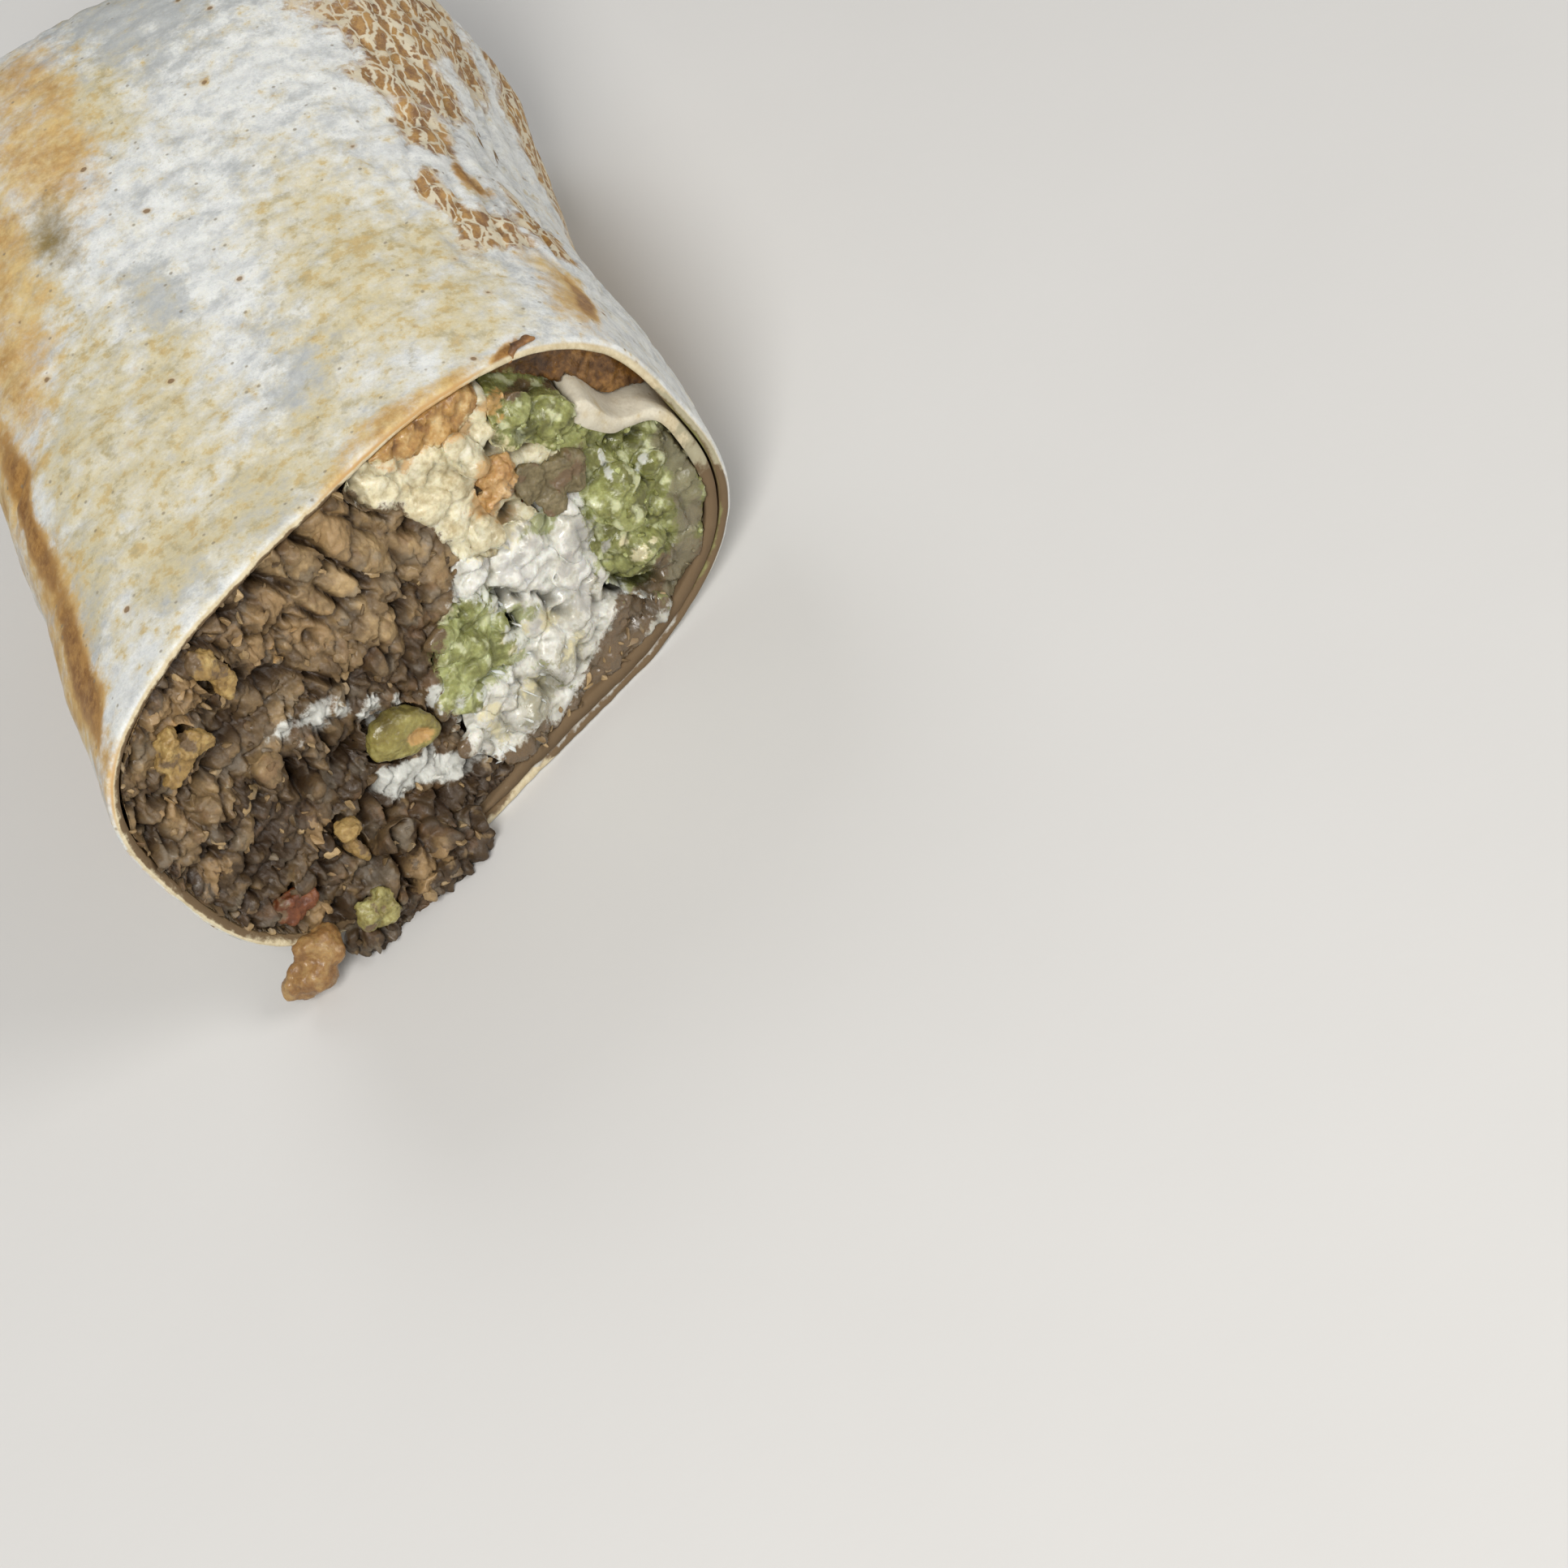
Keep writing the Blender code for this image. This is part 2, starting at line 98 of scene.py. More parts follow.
class Value:
    """One output of a material's node tree. Plain sums on it add Math nodes."""

    def __init__(self, socket):
        self.socket = socket
        self.tree = socket.id_data

    def math(self, operation, *others):
        sockets = dict(enumerate((self,) + others))
        return add_node(self.tree, "ShaderNodeMath", {"operation": operation}, sockets)

    def __add__(self, other):
        return self.math("ADD", other)

    def __sub__(self, other):
        return self.math("SUBTRACT", other)

    def __mul__(self, other):
        return self.math("MULTIPLY", other)

    def __rsub__(self, other):
        return add_node(self.tree, "ShaderNodeMath", {"operation": "SUBTRACT"}, {0: other, 1: self})

    __radd__ = __add__
    __rmul__ = __mul__

    def clipped(self):
        return add_node(self.tree, "ShaderNodeClamp", {}, {"Value": self})

    def step(self, low, high):
        """0 below low, 1 above high, smooth between."""
        return add_node(self.tree, "ShaderNodeMapRange", {"interpolation_type": "SMOOTHSTEP"},
                        {"Value": self, "From Min": low, "From Max": high})


def add_node(tree, kind, settings=None, sockets=None, out=0):
    """Adds one node: its settings first, then values or links for its sockets."""
    node = tree.nodes.new(kind)
    for key, value in (settings or {}).items():
        if key == "stops":
            stops = node.color_ramp.elements
            while len(stops) < len(value):
                stops.new(0.5)
            for element, (place, colour) in zip(stops, value):
                element.position = place
                element.color = (*colour, 1.0)
        else:
            setattr(node, key, value)
    for key, value in (sockets or {}).items():
        target = node.inputs[key]
        if isinstance(value, Value):
            tree.links.new(value.socket, target)
        elif isinstance(value, tuple) and len(value) == 3 and target.type == "RGBA":
            target.default_value = (*value, 1.0)
        else:
            target.default_value = value
    return Value(node.outputs[out])


class Finish:
    """A material under construction, with patterns in millimetres on Object coordinates."""

    def __init__(self, name):
        self.material = bpy.data.materials.new(name)
        self.material.use_nodes = True
        self.tree = self.material.node_tree
        self.tree.nodes.clear()
        place = self.node("ShaderNodeTexCoord", out="Object")
        self.place = self.scaled(place, (1.0 / MM,) * 3)

    def node(self, kind, settings=None, sockets=None, out=0):
        return add_node(self.tree, kind, settings, sockets, out)

    def scaled(self, vector, factors):
        return self.node("ShaderNodeVectorMath", {"operation": "MULTIPLY"}, {0: vector, 1: factors}, "Vector")

    def at(self, size, shift, stretch=(1.0, 1.0, 1.0)):
        """The place measured in steps of this size, moved by a shift to make patterns differ."""
        factors = tuple(s / size for s in stretch)
        moved = self.scaled(self.place, factors)
        return self.node("ShaderNodeVectorMath", {"operation": "ADD"}, {0: moved, 1: (shift,) * 3}, "Vector")

    def cloud(self, size, detail=3.0, rough=0.55, shift=0.0, stretch=(1.0, 1.0, 1.0), warp=0.0):
        return self.node("ShaderNodeTexNoise", {}, {"Vector": self.at(size, shift, stretch), "Scale": 1.0,
                                                   "Detail": detail, "Roughness": rough, "Distortion": warp})

    def cells(self, size, shift, stretch=(1.0, 1.0, 1.0), feature="F1", out="Distance", push=None):
        """Cells of a size. A push, its own size and how far in cells, makes their edges wander."""
        place = self.at(size, shift, stretch)
        if push:
            cloud = self.node("ShaderNodeTexNoise", {}, {"Vector": self.at(push[0], shift + 9.0), "Scale": 1.0,
                                                        "Detail": 3.0}, "Color")
            place = self.node("ShaderNodeVectorMath", {"operation": "MULTIPLY_ADD"},
                              {0: cloud, 1: (push[1],) * 3, 2: place}, "Vector")
        return self.node("ShaderNodeTexVoronoi", {"feature": feature}, {"Vector": place, "Scale": 1.0}, out)

    def mark(self, name):
        """A value kept on the piece's points."""
        return self.node("ShaderNodeAttribute", {"attribute_name": name}, out="Fac")

    def mix(self, share, under, over):
        """The colour under, with the colour over laid on it by a share."""
        return self.node("ShaderNodeMix", {"data_type": "RGBA"}, {"Factor": share, 6: under, 7: over}, 2)

    def shade(self, colour, share):
        """The colour made darker, or lighter, by a value."""
        tone = self.node("ShaderNodeCombineColor", {}, {0: share, 1: share, 2: share})
        return self.node("ShaderNodeMix", {"data_type": "RGBA", "blend_type": "MULTIPLY"},
                         {"Factor": 1.0, 6: colour, 7: tone}, 2)

    def bump(self, height, distance, strength):
        return self.node("ShaderNodeBump", {}, {"Height": height, "Distance": distance, "Strength": strength}, "Normal")

    def finish(self, colour, roughness, normal, soft=0.0, depth=1.0 * MM, gloss=0.5, soft_tint=(1.0, 0.5, 0.25)):
        """The material's surface: a soft share lets light this deep into it."""
        sockets = {"Base Color": colour, "Roughness": roughness, "Normal": normal, "Specular IOR Level": gloss,
                   "Subsurface Weight": soft, "Subsurface Radius": soft_tint, "Subsurface Scale": depth}
        surface = self.node("ShaderNodeBsdfPrincipled", {}, sockets, "BSDF")
        output = self.tree.nodes.new("ShaderNodeOutputMaterial")
        self.tree.links.new(surface.socket, output.inputs["Surface"])
        return self.material


# ---------------------------------------------------------------- the roll's form

def smooth(value, low, high):
    """0 at low, 1 at high, smooth between."""
    share = min(max((value - low) / (high - low), 0.0), 1.0)
    return share * share * (3.0 - 2.0 * share)


def wobble(x, y, z):
    """Smooth noise at a place, about -1 to 1."""
    return noise.noise(Vector((x, y, z)))


def cut_y(x, z):
    """How far along the roll the slanted cut lies at a place of the section."""
    return x * CUT_SLANT + z * CUT_TILT


def end_scale(y, shoulder, squareness, length):
    """How much of its full size the section keeps towards the blunt end."""
    share = min(max((y - shoulder) / (length - shoulder), 0.0), 1.0)
    return (1.0 - share ** squareness) ** (1.0 / squareness)


def skin_radius(angle, y):
    """The rounded square section's reach at an angle, lumpy, and flat where it lies on the table."""
    rise = math.sin(angle)
    half_height = HALF_TOP if rise > 0.0 else HALF_BOTTOM
    across = abs(math.cos(angle)) / HALF_WIDTH
    radius = (across ** SQUARENESS + (abs(rise) / half_height) ** SQUARENESS) ** (-1.0 / SQUARENESS)
    radius += LUMP * noise.noise(Vector((math.cos(angle), y / LUMP_LENGTH, rise)) * 1.5)
    if rise < 0.0:
        radius = min(radius, (CENTRE_Z - TABLE_Z) / -rise)
    return radius


def side_shift(x, y):
    """How far the sides are pulled in: a waist on the right, a little tuck on the left."""
    edge = (abs(x) / HALF_WIDTH) ** SQUARENESS
    if x < 0.0:
        return LEFT_TUCK * edge
    return -WAIST * edge * math.exp(-((y - WAIST_Y) / WAIST_LENGTH) ** 2)


def section(angle, y, inset, length):
    """The x and z of the roll's section, this far inside its skin."""
    reach = max(skin_radius(angle, y) - inset, 0.0)
    across = reach * math.cos(angle)
    up = reach * math.sin(angle)
    x = across - LEAN * up + CENTRE_X + side_shift(across, y)
    z = up + CENTRE_Z
    narrowing = end_scale(y, SHOULDER_WIDTH, END_SQUARENESS_WIDTH, length)
    lowering = end_scale(y, SHOULDER_HEIGHT, END_SQUARENESS_HEIGHT, length)
    return END_X + (x - END_X) * narrowing, END_Z + (z - END_Z) * lowering


def skin_point(angle, y, inset, length, front=0.0):
    """A place on the roll: y counts from the slanted cut, and front moves it out of the cut."""
    x, z = section(angle, y, inset, length)
    if y < SHOULDER_WIDTH:
        start = cut_y(x, z) - front
        stretched = start + y / SHOULDER_WIDTH * (SHOULDER_WIDTH - start)
        x, z = section(angle, stretched, inset, length)
        if y == 0.0:
            stretched = cut_y(x, z) - front
        return Vector((x, stretched, z))
    return Vector((x, y, z))


def place_in_section(x, z):
    """The angle and inset of a place on the cut."""
    up = z - CENTRE_Z
    across = x - CENTRE_X + LEAN * up
    angle = math.atan2(up, across)
    return angle, skin_radius(angle, 0.0) - math.hypot(across, up)


# ---------------------------------------------------------------- mesh making

def make_piece(name, points, faces, material, marks, slot, *nodes):
    """A placed mesh from places in the roll's frame, with values kept on its points."""
    mesh = bpy.data.meshes.new(name)
    places = np.asarray(points, float) + np.array(ORIGIN)
    places[:, 2] = np.maximum(places[:, 2], FLOOR_GAP)
    mesh.from_pydata(places.tolist(), [], [tuple(f) for f in faces])
    for key, values in marks.items():
        add_mark(mesh, key, values)
    mesh.validate()
    mesh.shade_smooth()
    mesh.materials.append(material)
    return place_piece(add_object(name, mesh), slot, *nodes)


def add_mark(mesh, key, values):
    """Keeps a value on each of the mesh's points."""
    mesh.attributes.new(key, "FLOAT", "POINT").data.foreach_set("value", np.asarray(values, np.float32))


def add_object(name, data):
    """An object of these data, in the scene."""
    obj = bpy.data.objects.new(name, data)
    bpy.context.scene.collection.objects.link(obj)
    return obj


def place_piece(obj, slot, *nodes):
    """Rides on the body and hides the CAD nodes it stands for. The slot is not used."""
    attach(obj, "root")
    if nodes:
        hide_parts(*nodes)
    return obj


def grid_faces(rows, columns, flip=False):
    """Faces between rings of points, each ring closed."""
    faces = []
    for i in range(rows - 1):
        for j in range(columns):
            k = (j + 1) % columns
            face = (i * columns + j, i * columns + k, (i + 1) * columns + k, (i + 1) * columns + j)
            faces.append(face[::-1] if flip else face)
    return faces


def mesh_arrays(mesh):
    """A mesh's points and faces."""
    points = np.zeros(len(mesh.vertices) * 3)
    mesh.vertices.foreach_get("co", points)
    return points.reshape(-1, 3), [tuple(p.vertices) for p in mesh.polygons]


def point_normals(points, faces):
    """The mean direction of the faces round each point."""
    triangles = np.array([(f[0], f[i], f[i + 1]) for f in faces for i in range(1, len(f) - 1)])
    a, b, c = (points[triangles[:, k]] for k in range(3))
    facing = np.cross(b - a, c - a)
    normals = np.zeros_like(points)
    for k in range(3):
        np.add.at(normals, triangles[:, k], facing)
    return normals / np.maximum(np.linalg.norm(normals, axis=1, keepdims=True), TINY)


@functools.cache
def ball(level):
    """Directions and faces of an even ball."""
    bm = bmesh.new()
    bmesh.ops.create_icosphere(bm, subdivisions=level, radius=1.0)
    arrays = np.array([v.co for v in bm.verts]), [tuple(v.index for v in f.verts) for f in bm.faces]
    bm.free()
    return arrays


def craggy(points, size, amount, seed):
    """How far each point moves for a rough surface with lumps of this size."""
    shift = Vector((seed * 7.31, seed * 3.17, -seed * 5.53))
    return amount * np.array([noise.fractal(Vector(p) / size + shift, 0.9, 2.1, 3) for p in points])


class Heap:
    """Lumps gathered into one mesh."""

    def __init__(self):
        self.points = []
        self.faces = []
        self.count = 0

    def add(self, points, faces):
        self.points.append(points)
        self.faces += [tuple(i + self.count for i in face) for face in faces]
        self.count += len(points)

    def arrays(self):
        return np.concatenate(self.points), self.faces


LUMP_GRAIN = 1.4 * MM
LUMP_WIDEST = 1.25


def sizes(*millimetres):
    """Lengths in metres from mm."""
    return [s * MM for s in millimetres]


def turned(degrees):
    """The cut's two directions, turned on it."""
    angle = math.radians(degrees)
    return (ACROSS * math.cos(angle) + UPWARD * math.sin(angle), UPWARD * math.cos(angle) - ACROSS * math.sin(angle))


def lump(level, rng, size, turn, tilt, facets=11, sharpness=9.0, rough=0.08):
    """A lump with worn facets, sized across, up and out, about its own middle."""
    directions, faces = ball(level)
    normals = np.array([Vector([rng.gauss(0, 1) for _ in range(3)]).normalized() for _ in range(facets)])
    reach = np.array([rng.uniform(0.66, 1.0) for _ in range(facets)])
    spread = np.maximum(directions @ normals.T, 0.0) / reach
    radius = np.minimum(np.maximum((spread ** sharpness).sum(1), 0.01) ** (-1.0 / sharpness), LUMP_WIDEST)
    local = directions * radius[:, None] * np.array(size)
    local = local + directions * craggy(local, LUMP_GRAIN, rough * min(size), rng.uniform(0, 50))[:, None]
    across, up = turned(turn)
    spin = Matrix.Rotation(math.radians(tilt), 3, across)
    return local @ np.array([across, spin @ up, spin @ OUTWARD]), faces


# ---------------------------------------------------------------- where things lie on the cut

RAY_START = 30.0 * MM
CELL = 0.5
BLUR_ROUNDS = 16
MAP_SIDE = 42.0
MAP_HEIGHT = 30.0
SIGHT_DROP = 1.147
PACK_REACH = 48.0
KINDS = {"beef": ("ground_beef",), "green": ("guacamole_side", "guacamole_low"), "white": ("sour_cream",),
         "yellow": ("cheese",), "orange": ("salsa", "tomato_piece")}
TREES = {name: BVHTree.FromPolygons([v.co for v in obj.data.vertices], [tuple(p.vertices) for p in obj.data.polygons])
         for name, obj in NODES.items()}


def face_at(x, z):
    """The CAD node seen at a place on the cut, and the point on it, in the roll's frame."""
    start = ORIGIN + Vector((x, cut_y(x, z) - RAY_START, z))
    found, place, nearest = None, None, 1.0
    for name, tree in TREES.items():
        hit, _, _, distance = tree.ray_cast(start, Vector((0.0, 1.0, 0.0)), nearest)
        if hit is not None and distance < nearest:
            found, place, nearest = name, hit - ORIGIN, distance
    return found, place


def box_middle(node):
    """The middle of a node's box, in the roll's frame."""
    low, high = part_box(node)
    return (low + high) * 0.5 - ORIGIN


def face_middle(node):
    """The middle of a node's box, moved on to the cut."""
    middle = box_middle(node)
    middle.y = cut_y(middle.x, middle.z)
    return middle


def unit(values):
    """An array's values kept between 0 and 1."""
    return np.clip(values, 0.0, 1.0)


def ramp(value, low, high):
    """0 below low, 1 above high, smooth between, for arrays."""
    share = unit((value - low) / (high - low))
    return share * share * (3.0 - 2.0 * share)


def seen_places(points):
    """The (x, z) places in millimetres of some points, as seen from the front."""
    return points[:, [0, 2]] / MM


def ahead(points):
    """How far each point stands in front of the cut's plane."""
    return points @ np.array(OUTWARD)


def as_seen(points):
    """The places on the cut's plane that some points hide, looked at from in front and above."""
    places = seen_places(points).copy()
    places[:, 1] -= SIGHT_DROP * ahead(points) / MM
    return places


def share_maps():
    """How much of each kind of filling, and of any filling, lies round each place of the cut."""
    columns, rows = int(2 * MAP_SIDE / CELL), int(2 * MAP_HEIGHT / CELL)
    names = np.array([[face_at((-MAP_SIDE + (i + 0.5) * CELL) * MM, (-MAP_HEIGHT + (j + 0.5) * CELL) * MM)[0] or ""
                       for j in range(rows)] for i in range(columns)])
    maps = {kind: np.isin(names, nodes).astype(float) for kind, nodes in KINDS.items()}
    maps["any"] = ((names != "") & (names != "tortilla")).astype(float)
    for kind, share in maps.items():
        for _ in range(BLUR_ROUNDS):
            around = [np.roll(share, step, axis) for step in (-1, 1) for axis in (0, 1)]
            share = (share + sum(around)) / 5.0
        maps[kind] = share
    return maps


def sampled(grid, places):
    """A map's value at each place, blended between its cells."""
    i = np.clip((places[:, 0] + MAP_SIDE) / CELL - 0.5, 0.0, grid.shape[0] - 1.001)
    j = np.clip((places[:, 1] + MAP_HEIGHT) / CELL - 0.5, 0.0, grid.shape[1] - 1.001)
    a, b = i.astype(int), j.astype(int)
    s, t = i - a, j - b
    return ((grid[a, b] * (1 - s) + grid[a + 1, b] * s) * (1 - t)
            + (grid[a, b + 1] * (1 - s) + grid[a + 1, b + 1] * s) * t)


def spots(places, rounds):
    """The strongest of some soft round spots at each place: each is x, z, radius in mm and strength."""
    value = np.zeros(len(places))
    for x, z, radius, strength in rounds:
        away = ((places[:, 0] - x) ** 2 + (places[:, 1] - z) ** 2) / radius ** 2
        value = np.maximum(value, strength * np.exp(-away))
    return value


def grooves(places, paths, width):
    """1 on some paths across the cut, falling to 0 within about two widths."""
    nearest = np.full(len(places), 1.0e6)
    for path in paths:
        for (x0, z0), (x1, z1) in zip(path, path[1:]):
            step = np.array((x1 - x0, z1 - z0))
            from_start = places - np.array((x0, z0))
            share = unit(from_start @ step / (step @ step))
            away = from_start - share[:, None] * step
            nearest = np.minimum(nearest, (away ** 2).sum(1))
    return np.exp(-nearest / width ** 2)


def field(places, size, seed, octaves, lumpy=False):
    """Noise over the cut, about -1 to 1. Lumpy gives rounded tops with creases between."""
    total = np.zeros(len(places))
    weight = 1.0
    for octave in range(octaves):
        scaled = places / size * 2.0 ** octave
        depth = seed * 7.31 + octave * 3.7
        values = np.array([noise.noise(Vector((x + depth, z - depth, depth))) for x, z in scaled])
        total += weight * (np.abs(values) * 3.2 - 0.7 if lumpy else values * 1.6)
        weight *= 0.5
    return total


def chance(numbers, seed):
    """A fixed random value from 0 to 1 for each whole number."""
    return np.abs(np.modf(np.sin(numbers * 12.9898 + seed * 78.233) * 43758.5453)[0])


def packed(places, spacing, seed, stretch, turn, ragged):
    """Pieces packed on the cut: each place's piece, its way in from the edge, its offset, the piece's middle."""
    angle = math.radians(turn)
    spin = np.array([[math.cos(angle), -math.sin(angle)], [math.sin(angle), math.cos(angle)]])
    moved = places @ spin / np.array([1.0, stretch])
    wander = np.stack([field(moved, spacing * 0.9, seed + k, 2) for k in (1.0, 2.0)], 1)
    moved = moved + wander * ragged * spacing * 0.5
    rng = random.Random(int(seed * 100))
    side = int(2 * PACK_REACH / spacing)
    seeds = [((i + rng.uniform(0.0, 0.9)) * spacing - PACK_REACH, (j + rng.uniform(0.0, 0.9)) * spacing - PACK_REACH)
             for i in range(side) for j in range(side)]
    tree = KDTree(len(seeds))
    for k, (x, z) in enumerate(seeds):
        tree.insert((x, z, 0.0), k)
    tree.balance()
    found = [tree.find_n((x, z, 0.0), 2) for x, z in moved]
    numbers = np.array([f[0][1] for f in found], float)
    edge = np.array([f[1][2] - f[0][2] for f in found]) * 0.5
    middles = np.array(seeds)[numbers.astype(int)]
    return numbers, edge, moved - middles, (middles * np.array([1.0, stretch])) @ spin.T


def pieces_relief(places, spacing, seed, jitter, tilt, depth, crack, stretch, turn, ragged):
    """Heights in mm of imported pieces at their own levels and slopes; their cracks, tints and middles."""
    numbers, edge, offset, middles = packed(places, spacing, seed, stretch, turn, ragged)
    level = (chance(numbers, seed) - 0.5) * 2.0 * jitter
    heading = chance(numbers, seed + 1.0) * FULL_TURN
    slope = tilt * (offset[:, 0] * np.cos(heading) + offset[:, 1] * np.sin(heading))
    cracks = np.exp(-(edge / crack) ** 1.5)
    return level + slope - depth * cracks, cracks, chance(numbers, seed + 2.0), middles


def trail(path, radius, strength):
    """Round spots strung along a path."""
    rounds = []
    for (x0, z0), (x1, z1) in zip(path, path[1:]):
        count = max(1, int(math.hypot(x1 - x0, z1 - z0) / (0.6 * radius)))
        rounds += [(x0 + (x1 - x0) * k / count, z0 + (z1 - z0) * k / count, radius, strength)
                   for k in range(count + 1)]
    return rounds


# Smears, stains, hollows and toasted spots are x, z, radius and strength on the cut, in mm.
MARGIN_PATH = [(27.0, -19.8), (19.4, -21.4), (13.0, -24.2), (6.0, -23.6)]
SOILED_PATH = [(31.0, -19.6), (24.0, -19.4), (19.4, -21.4), (14.4, -24.6), (9.0, -25.6), (3.6, -23.6)]
SMEARS = trail([(-10.4, -9.9), (-8.4, -11.4), (-5.6, -13.6), (-2.6, -16.6)], 1.7, 1.4) + [
    (-9.8, -12.9, 1.3, 0.8), (-4.6, -11.8, 1.3, 0.8), (-0.4, -16.4, 1.8, 1.0), (-16.2, 5.2, 1.5, 0.9),
    (-14.2, 4.2, 1.3, 1.0), (-12.4, 3.0, 2.1, 1.0), (-10.2, 1.2, 1.3, 0.85), (-8.6, -1.4, 1.2, 0.8),
    (-6.6, -1.8, 0.8, 0.65), (-4.4, -3.2, 1.0, 0.8), (-2.2, -4.6, 0.8, 0.6), (-0.9, -6.6, 1.6, 0.95),
    (-0.7, -9.0, 1.0, 0.7), (-15.6, 2.0, 1.0, 0.6), (-18.6, 5.8, 0.9, 0.55)]
STAINS = {
    "white": SMEARS + trail([(28.3, 1.6), (27.9, -3.2)], 0.7, 0.75) + [
        (-0.1, -15.9, 1.9, 1.0), (4.6, -12.5, 1.8, 0.9), (10.0, -4.0, 1.7, 0.9), (9.8, -8.4, 1.5, 0.8),
        (1.2, -10.6, 1.3, 0.8), (8.6, 0.6, 1.6, 0.8), (32.2, -4.0, 1.4, 0.9), (-7.0, -0.9, 1.4, 0.9),
        (8.4, 0.4, 1.2, 0.7)],
    "yellow": [
        (14.1, -9.9, 1.3, 0.8), (11.6, -9.4, 1.2, 0.7), (2.7, -13.7, 1.0, 0.8), (3.1, -16.6, 1.2, 0.8),
        (27.4, -14.4, 1.6, 0.75), (26.0, -11.0, 1.2, 0.6), (13.0, 5.0, 2.2, 0.8), (9.4, -10.4, 1.3, 0.6),
        (9.0, -15.6, 2.0, 0.6), (14.2, -11.0, 1.4, 0.95), (5.1, 1.0, 1.3, 0.8), (3.9, -14.6, 1.3, 0.9),
        (26.6, -13.6, 1.2, 0.9), (28.8, -14.2, 1.1, 0.8), (9.0, -8.2, 1.0, 0.7), (4.0, -18.6, 2.0, 0.55),
        (15.0, -16.6, 2.2, 0.55)],
    "green": [
        (18.6, 0.2, 1.8, 1.0), (20.1, -0.4, 1.3, 0.9), (16.8, 0.6, 1.3, 0.8), (13.0, -8.4, 1.6, 0.8),
        (22.6, -10.0, 1.2, 0.8), (11.4, -6.6, 1.8, 0.9), (9.6, -10.6, 1.8, 0.9), (19.2, -1.0, 1.3, 0.8),
        (23.8, 12.4, 2.0, 0.9), (35.0, -5.0, 1.3, 0.7), (35.4, -9.6, 1.2, 0.7), (8.8, 13.4, 1.2, 0.35),
        (10.0, -14.6, 2.4, 0.5), (14.0, -10.0, 2.4, 0.55), (12.0, -19.0, 2.6, 0.4)],
    "orange": [
        (14.9, 8.0, 2.6, 1.0), (16.8, 10.4, 2.4, 0.9), (15.6, 4.6, 1.8, 0.8), (16.0, 17.9, 2.2, 0.75),
        (20.4, 17.4, 1.8, 0.9), (9.0, 20.4, 2.0, 0.6), (20.6, 14.8, 1.2, 0.6), (-13.4, 13.8, 1.8, 0.45),
        (-25.6, 16.8, 1.8, 0.45)],
    # Of the beef stains, those at (23.6, 16.6) and (27.6, 14.4) are painted shade, dark brown on the top of the large
    # dollop by the pocket.
    "beef": trail(SOILED_PATH, 3.1, 1.5) + [
        (25.9, 3.8, 1.6, 0.7), (22.4, -16.6, 1.8, 0.8), (19.0, 9.6, 1.0, 0.5), (23.6, 16.6, 2.0, 1.1),
        (34.2, -15.0, 1.9, 1.0), (31.8, -18.4, 2.2, 1.2), (36.4, -9.0, 1.0, 0.7), (33.4, -11.8, 1.0, 0.6),
        (27.6, 14.4, 1.7, 1.0)],
    "dull": [
        (8.6, -18.6, 5.0, 0.72), (15.0, -17.0, 3.6, 0.7), (3.4, -17.4, 3.4, 0.6), (20.6, -12.4, 2.0, 0.6),
        (13.0, -9.6, 1.6, 0.45)],
    "mauve": [
        (21.5, -0.2, 1.8, 0.9), (21.9, -5.3, 2.2, 1.0), (18.9, -7.4, 1.9, 0.95), (18.7, -12.6, 2.2, 0.9),
        (17.0, -4.6, 1.2, 0.6), (10.8, -15.2, 1.6, 0.75), (12.6, -18.4, 1.8, 0.7), (5.8, -15.6, 1.2, 0.7),
        (14.9, -1.6, 1.0, 0.6), (11.4, 1.6, 1.0, 0.6), (23.9, -9.0, 1.2, 0.7), (7.0, -20.4, 1.8, 0.8)],
    # The grey strip along the right wall and its lower corner: partly soaked juice, partly painted shade.
    "grey": trail([(36.4, -4.6), (35.9, -9.0), (34.4, -13.6), (32.0, -17.6), (29.0, -20.6)], 2.1, 1.1) + [
        (36.0, -4.4, 2.6, 1.0), (34.6, -10.6, 2.4, 0.9)],
}
# The hollows and the cracks below are sunk into the relief and darkened with painted shade.
HOLLOWS = [
    (-17.6, 13.4, 1.5, 1.0), (-14.9, 11.0, 1.7, 1.1), (-21.4, 22.4, 1.6, 0.9), (2.4, 22.9, 1.2, 0.9),
    (-10.1, 21.6, 1.5, 1.1), (-14.6, 21.3, 1.2, 0.9), (-8.6, 10.8, 0.9, 0.8), (-20.1, 9.6, 1.7, 0.9),
    (-17.5, 1.0, 1.2, 0.8), (-17.6, -2.3, 1.2, 0.9), (-22.2, 0.0, 1.3, 0.8), (-18.5, -6.2, 1.1, 0.8),
    (-5.9, -18.8, 1.2, 0.9), (-1.7, -23.7, 1.6, 1.0), (-25.3, -7.8, 1.9, 0.8), (-22.4, -7.4, 1.2, 0.8),
    (-25.2, 9.1, 1.1, 0.8), (-29.3, 21.0, 1.2, 0.8), (-11.2, -4.8, 1.5, 0.9), (-12.6, -11.4, 1.1, 0.7),
    (18.4, 12.5, 1.1, 0.9), (21.8, 9.6, 1.2, 0.6), (16.4, 4.2, 1.2, 1.0), (30.4, 1.0, 1.1, 0.8),
    (32.8, -0.6, 1.0, 0.8), (11.2, -4.0, 0.9, 0.8), (15.6, -9.4, 0.9, 0.8), (10.8, -7.0, 0.9, 0.8),
    (22.6, -14.6, 1.4, 1.0), (26.6, -17.8, 1.5, 1.0), (24.6, 18.6, 3.2, 0.8), (27.6, 16.8, 2.2, 0.6),
    (15.8, -11.6, 0.9, 0.8), (24.9, 15.8, 1.7, 0.7)]
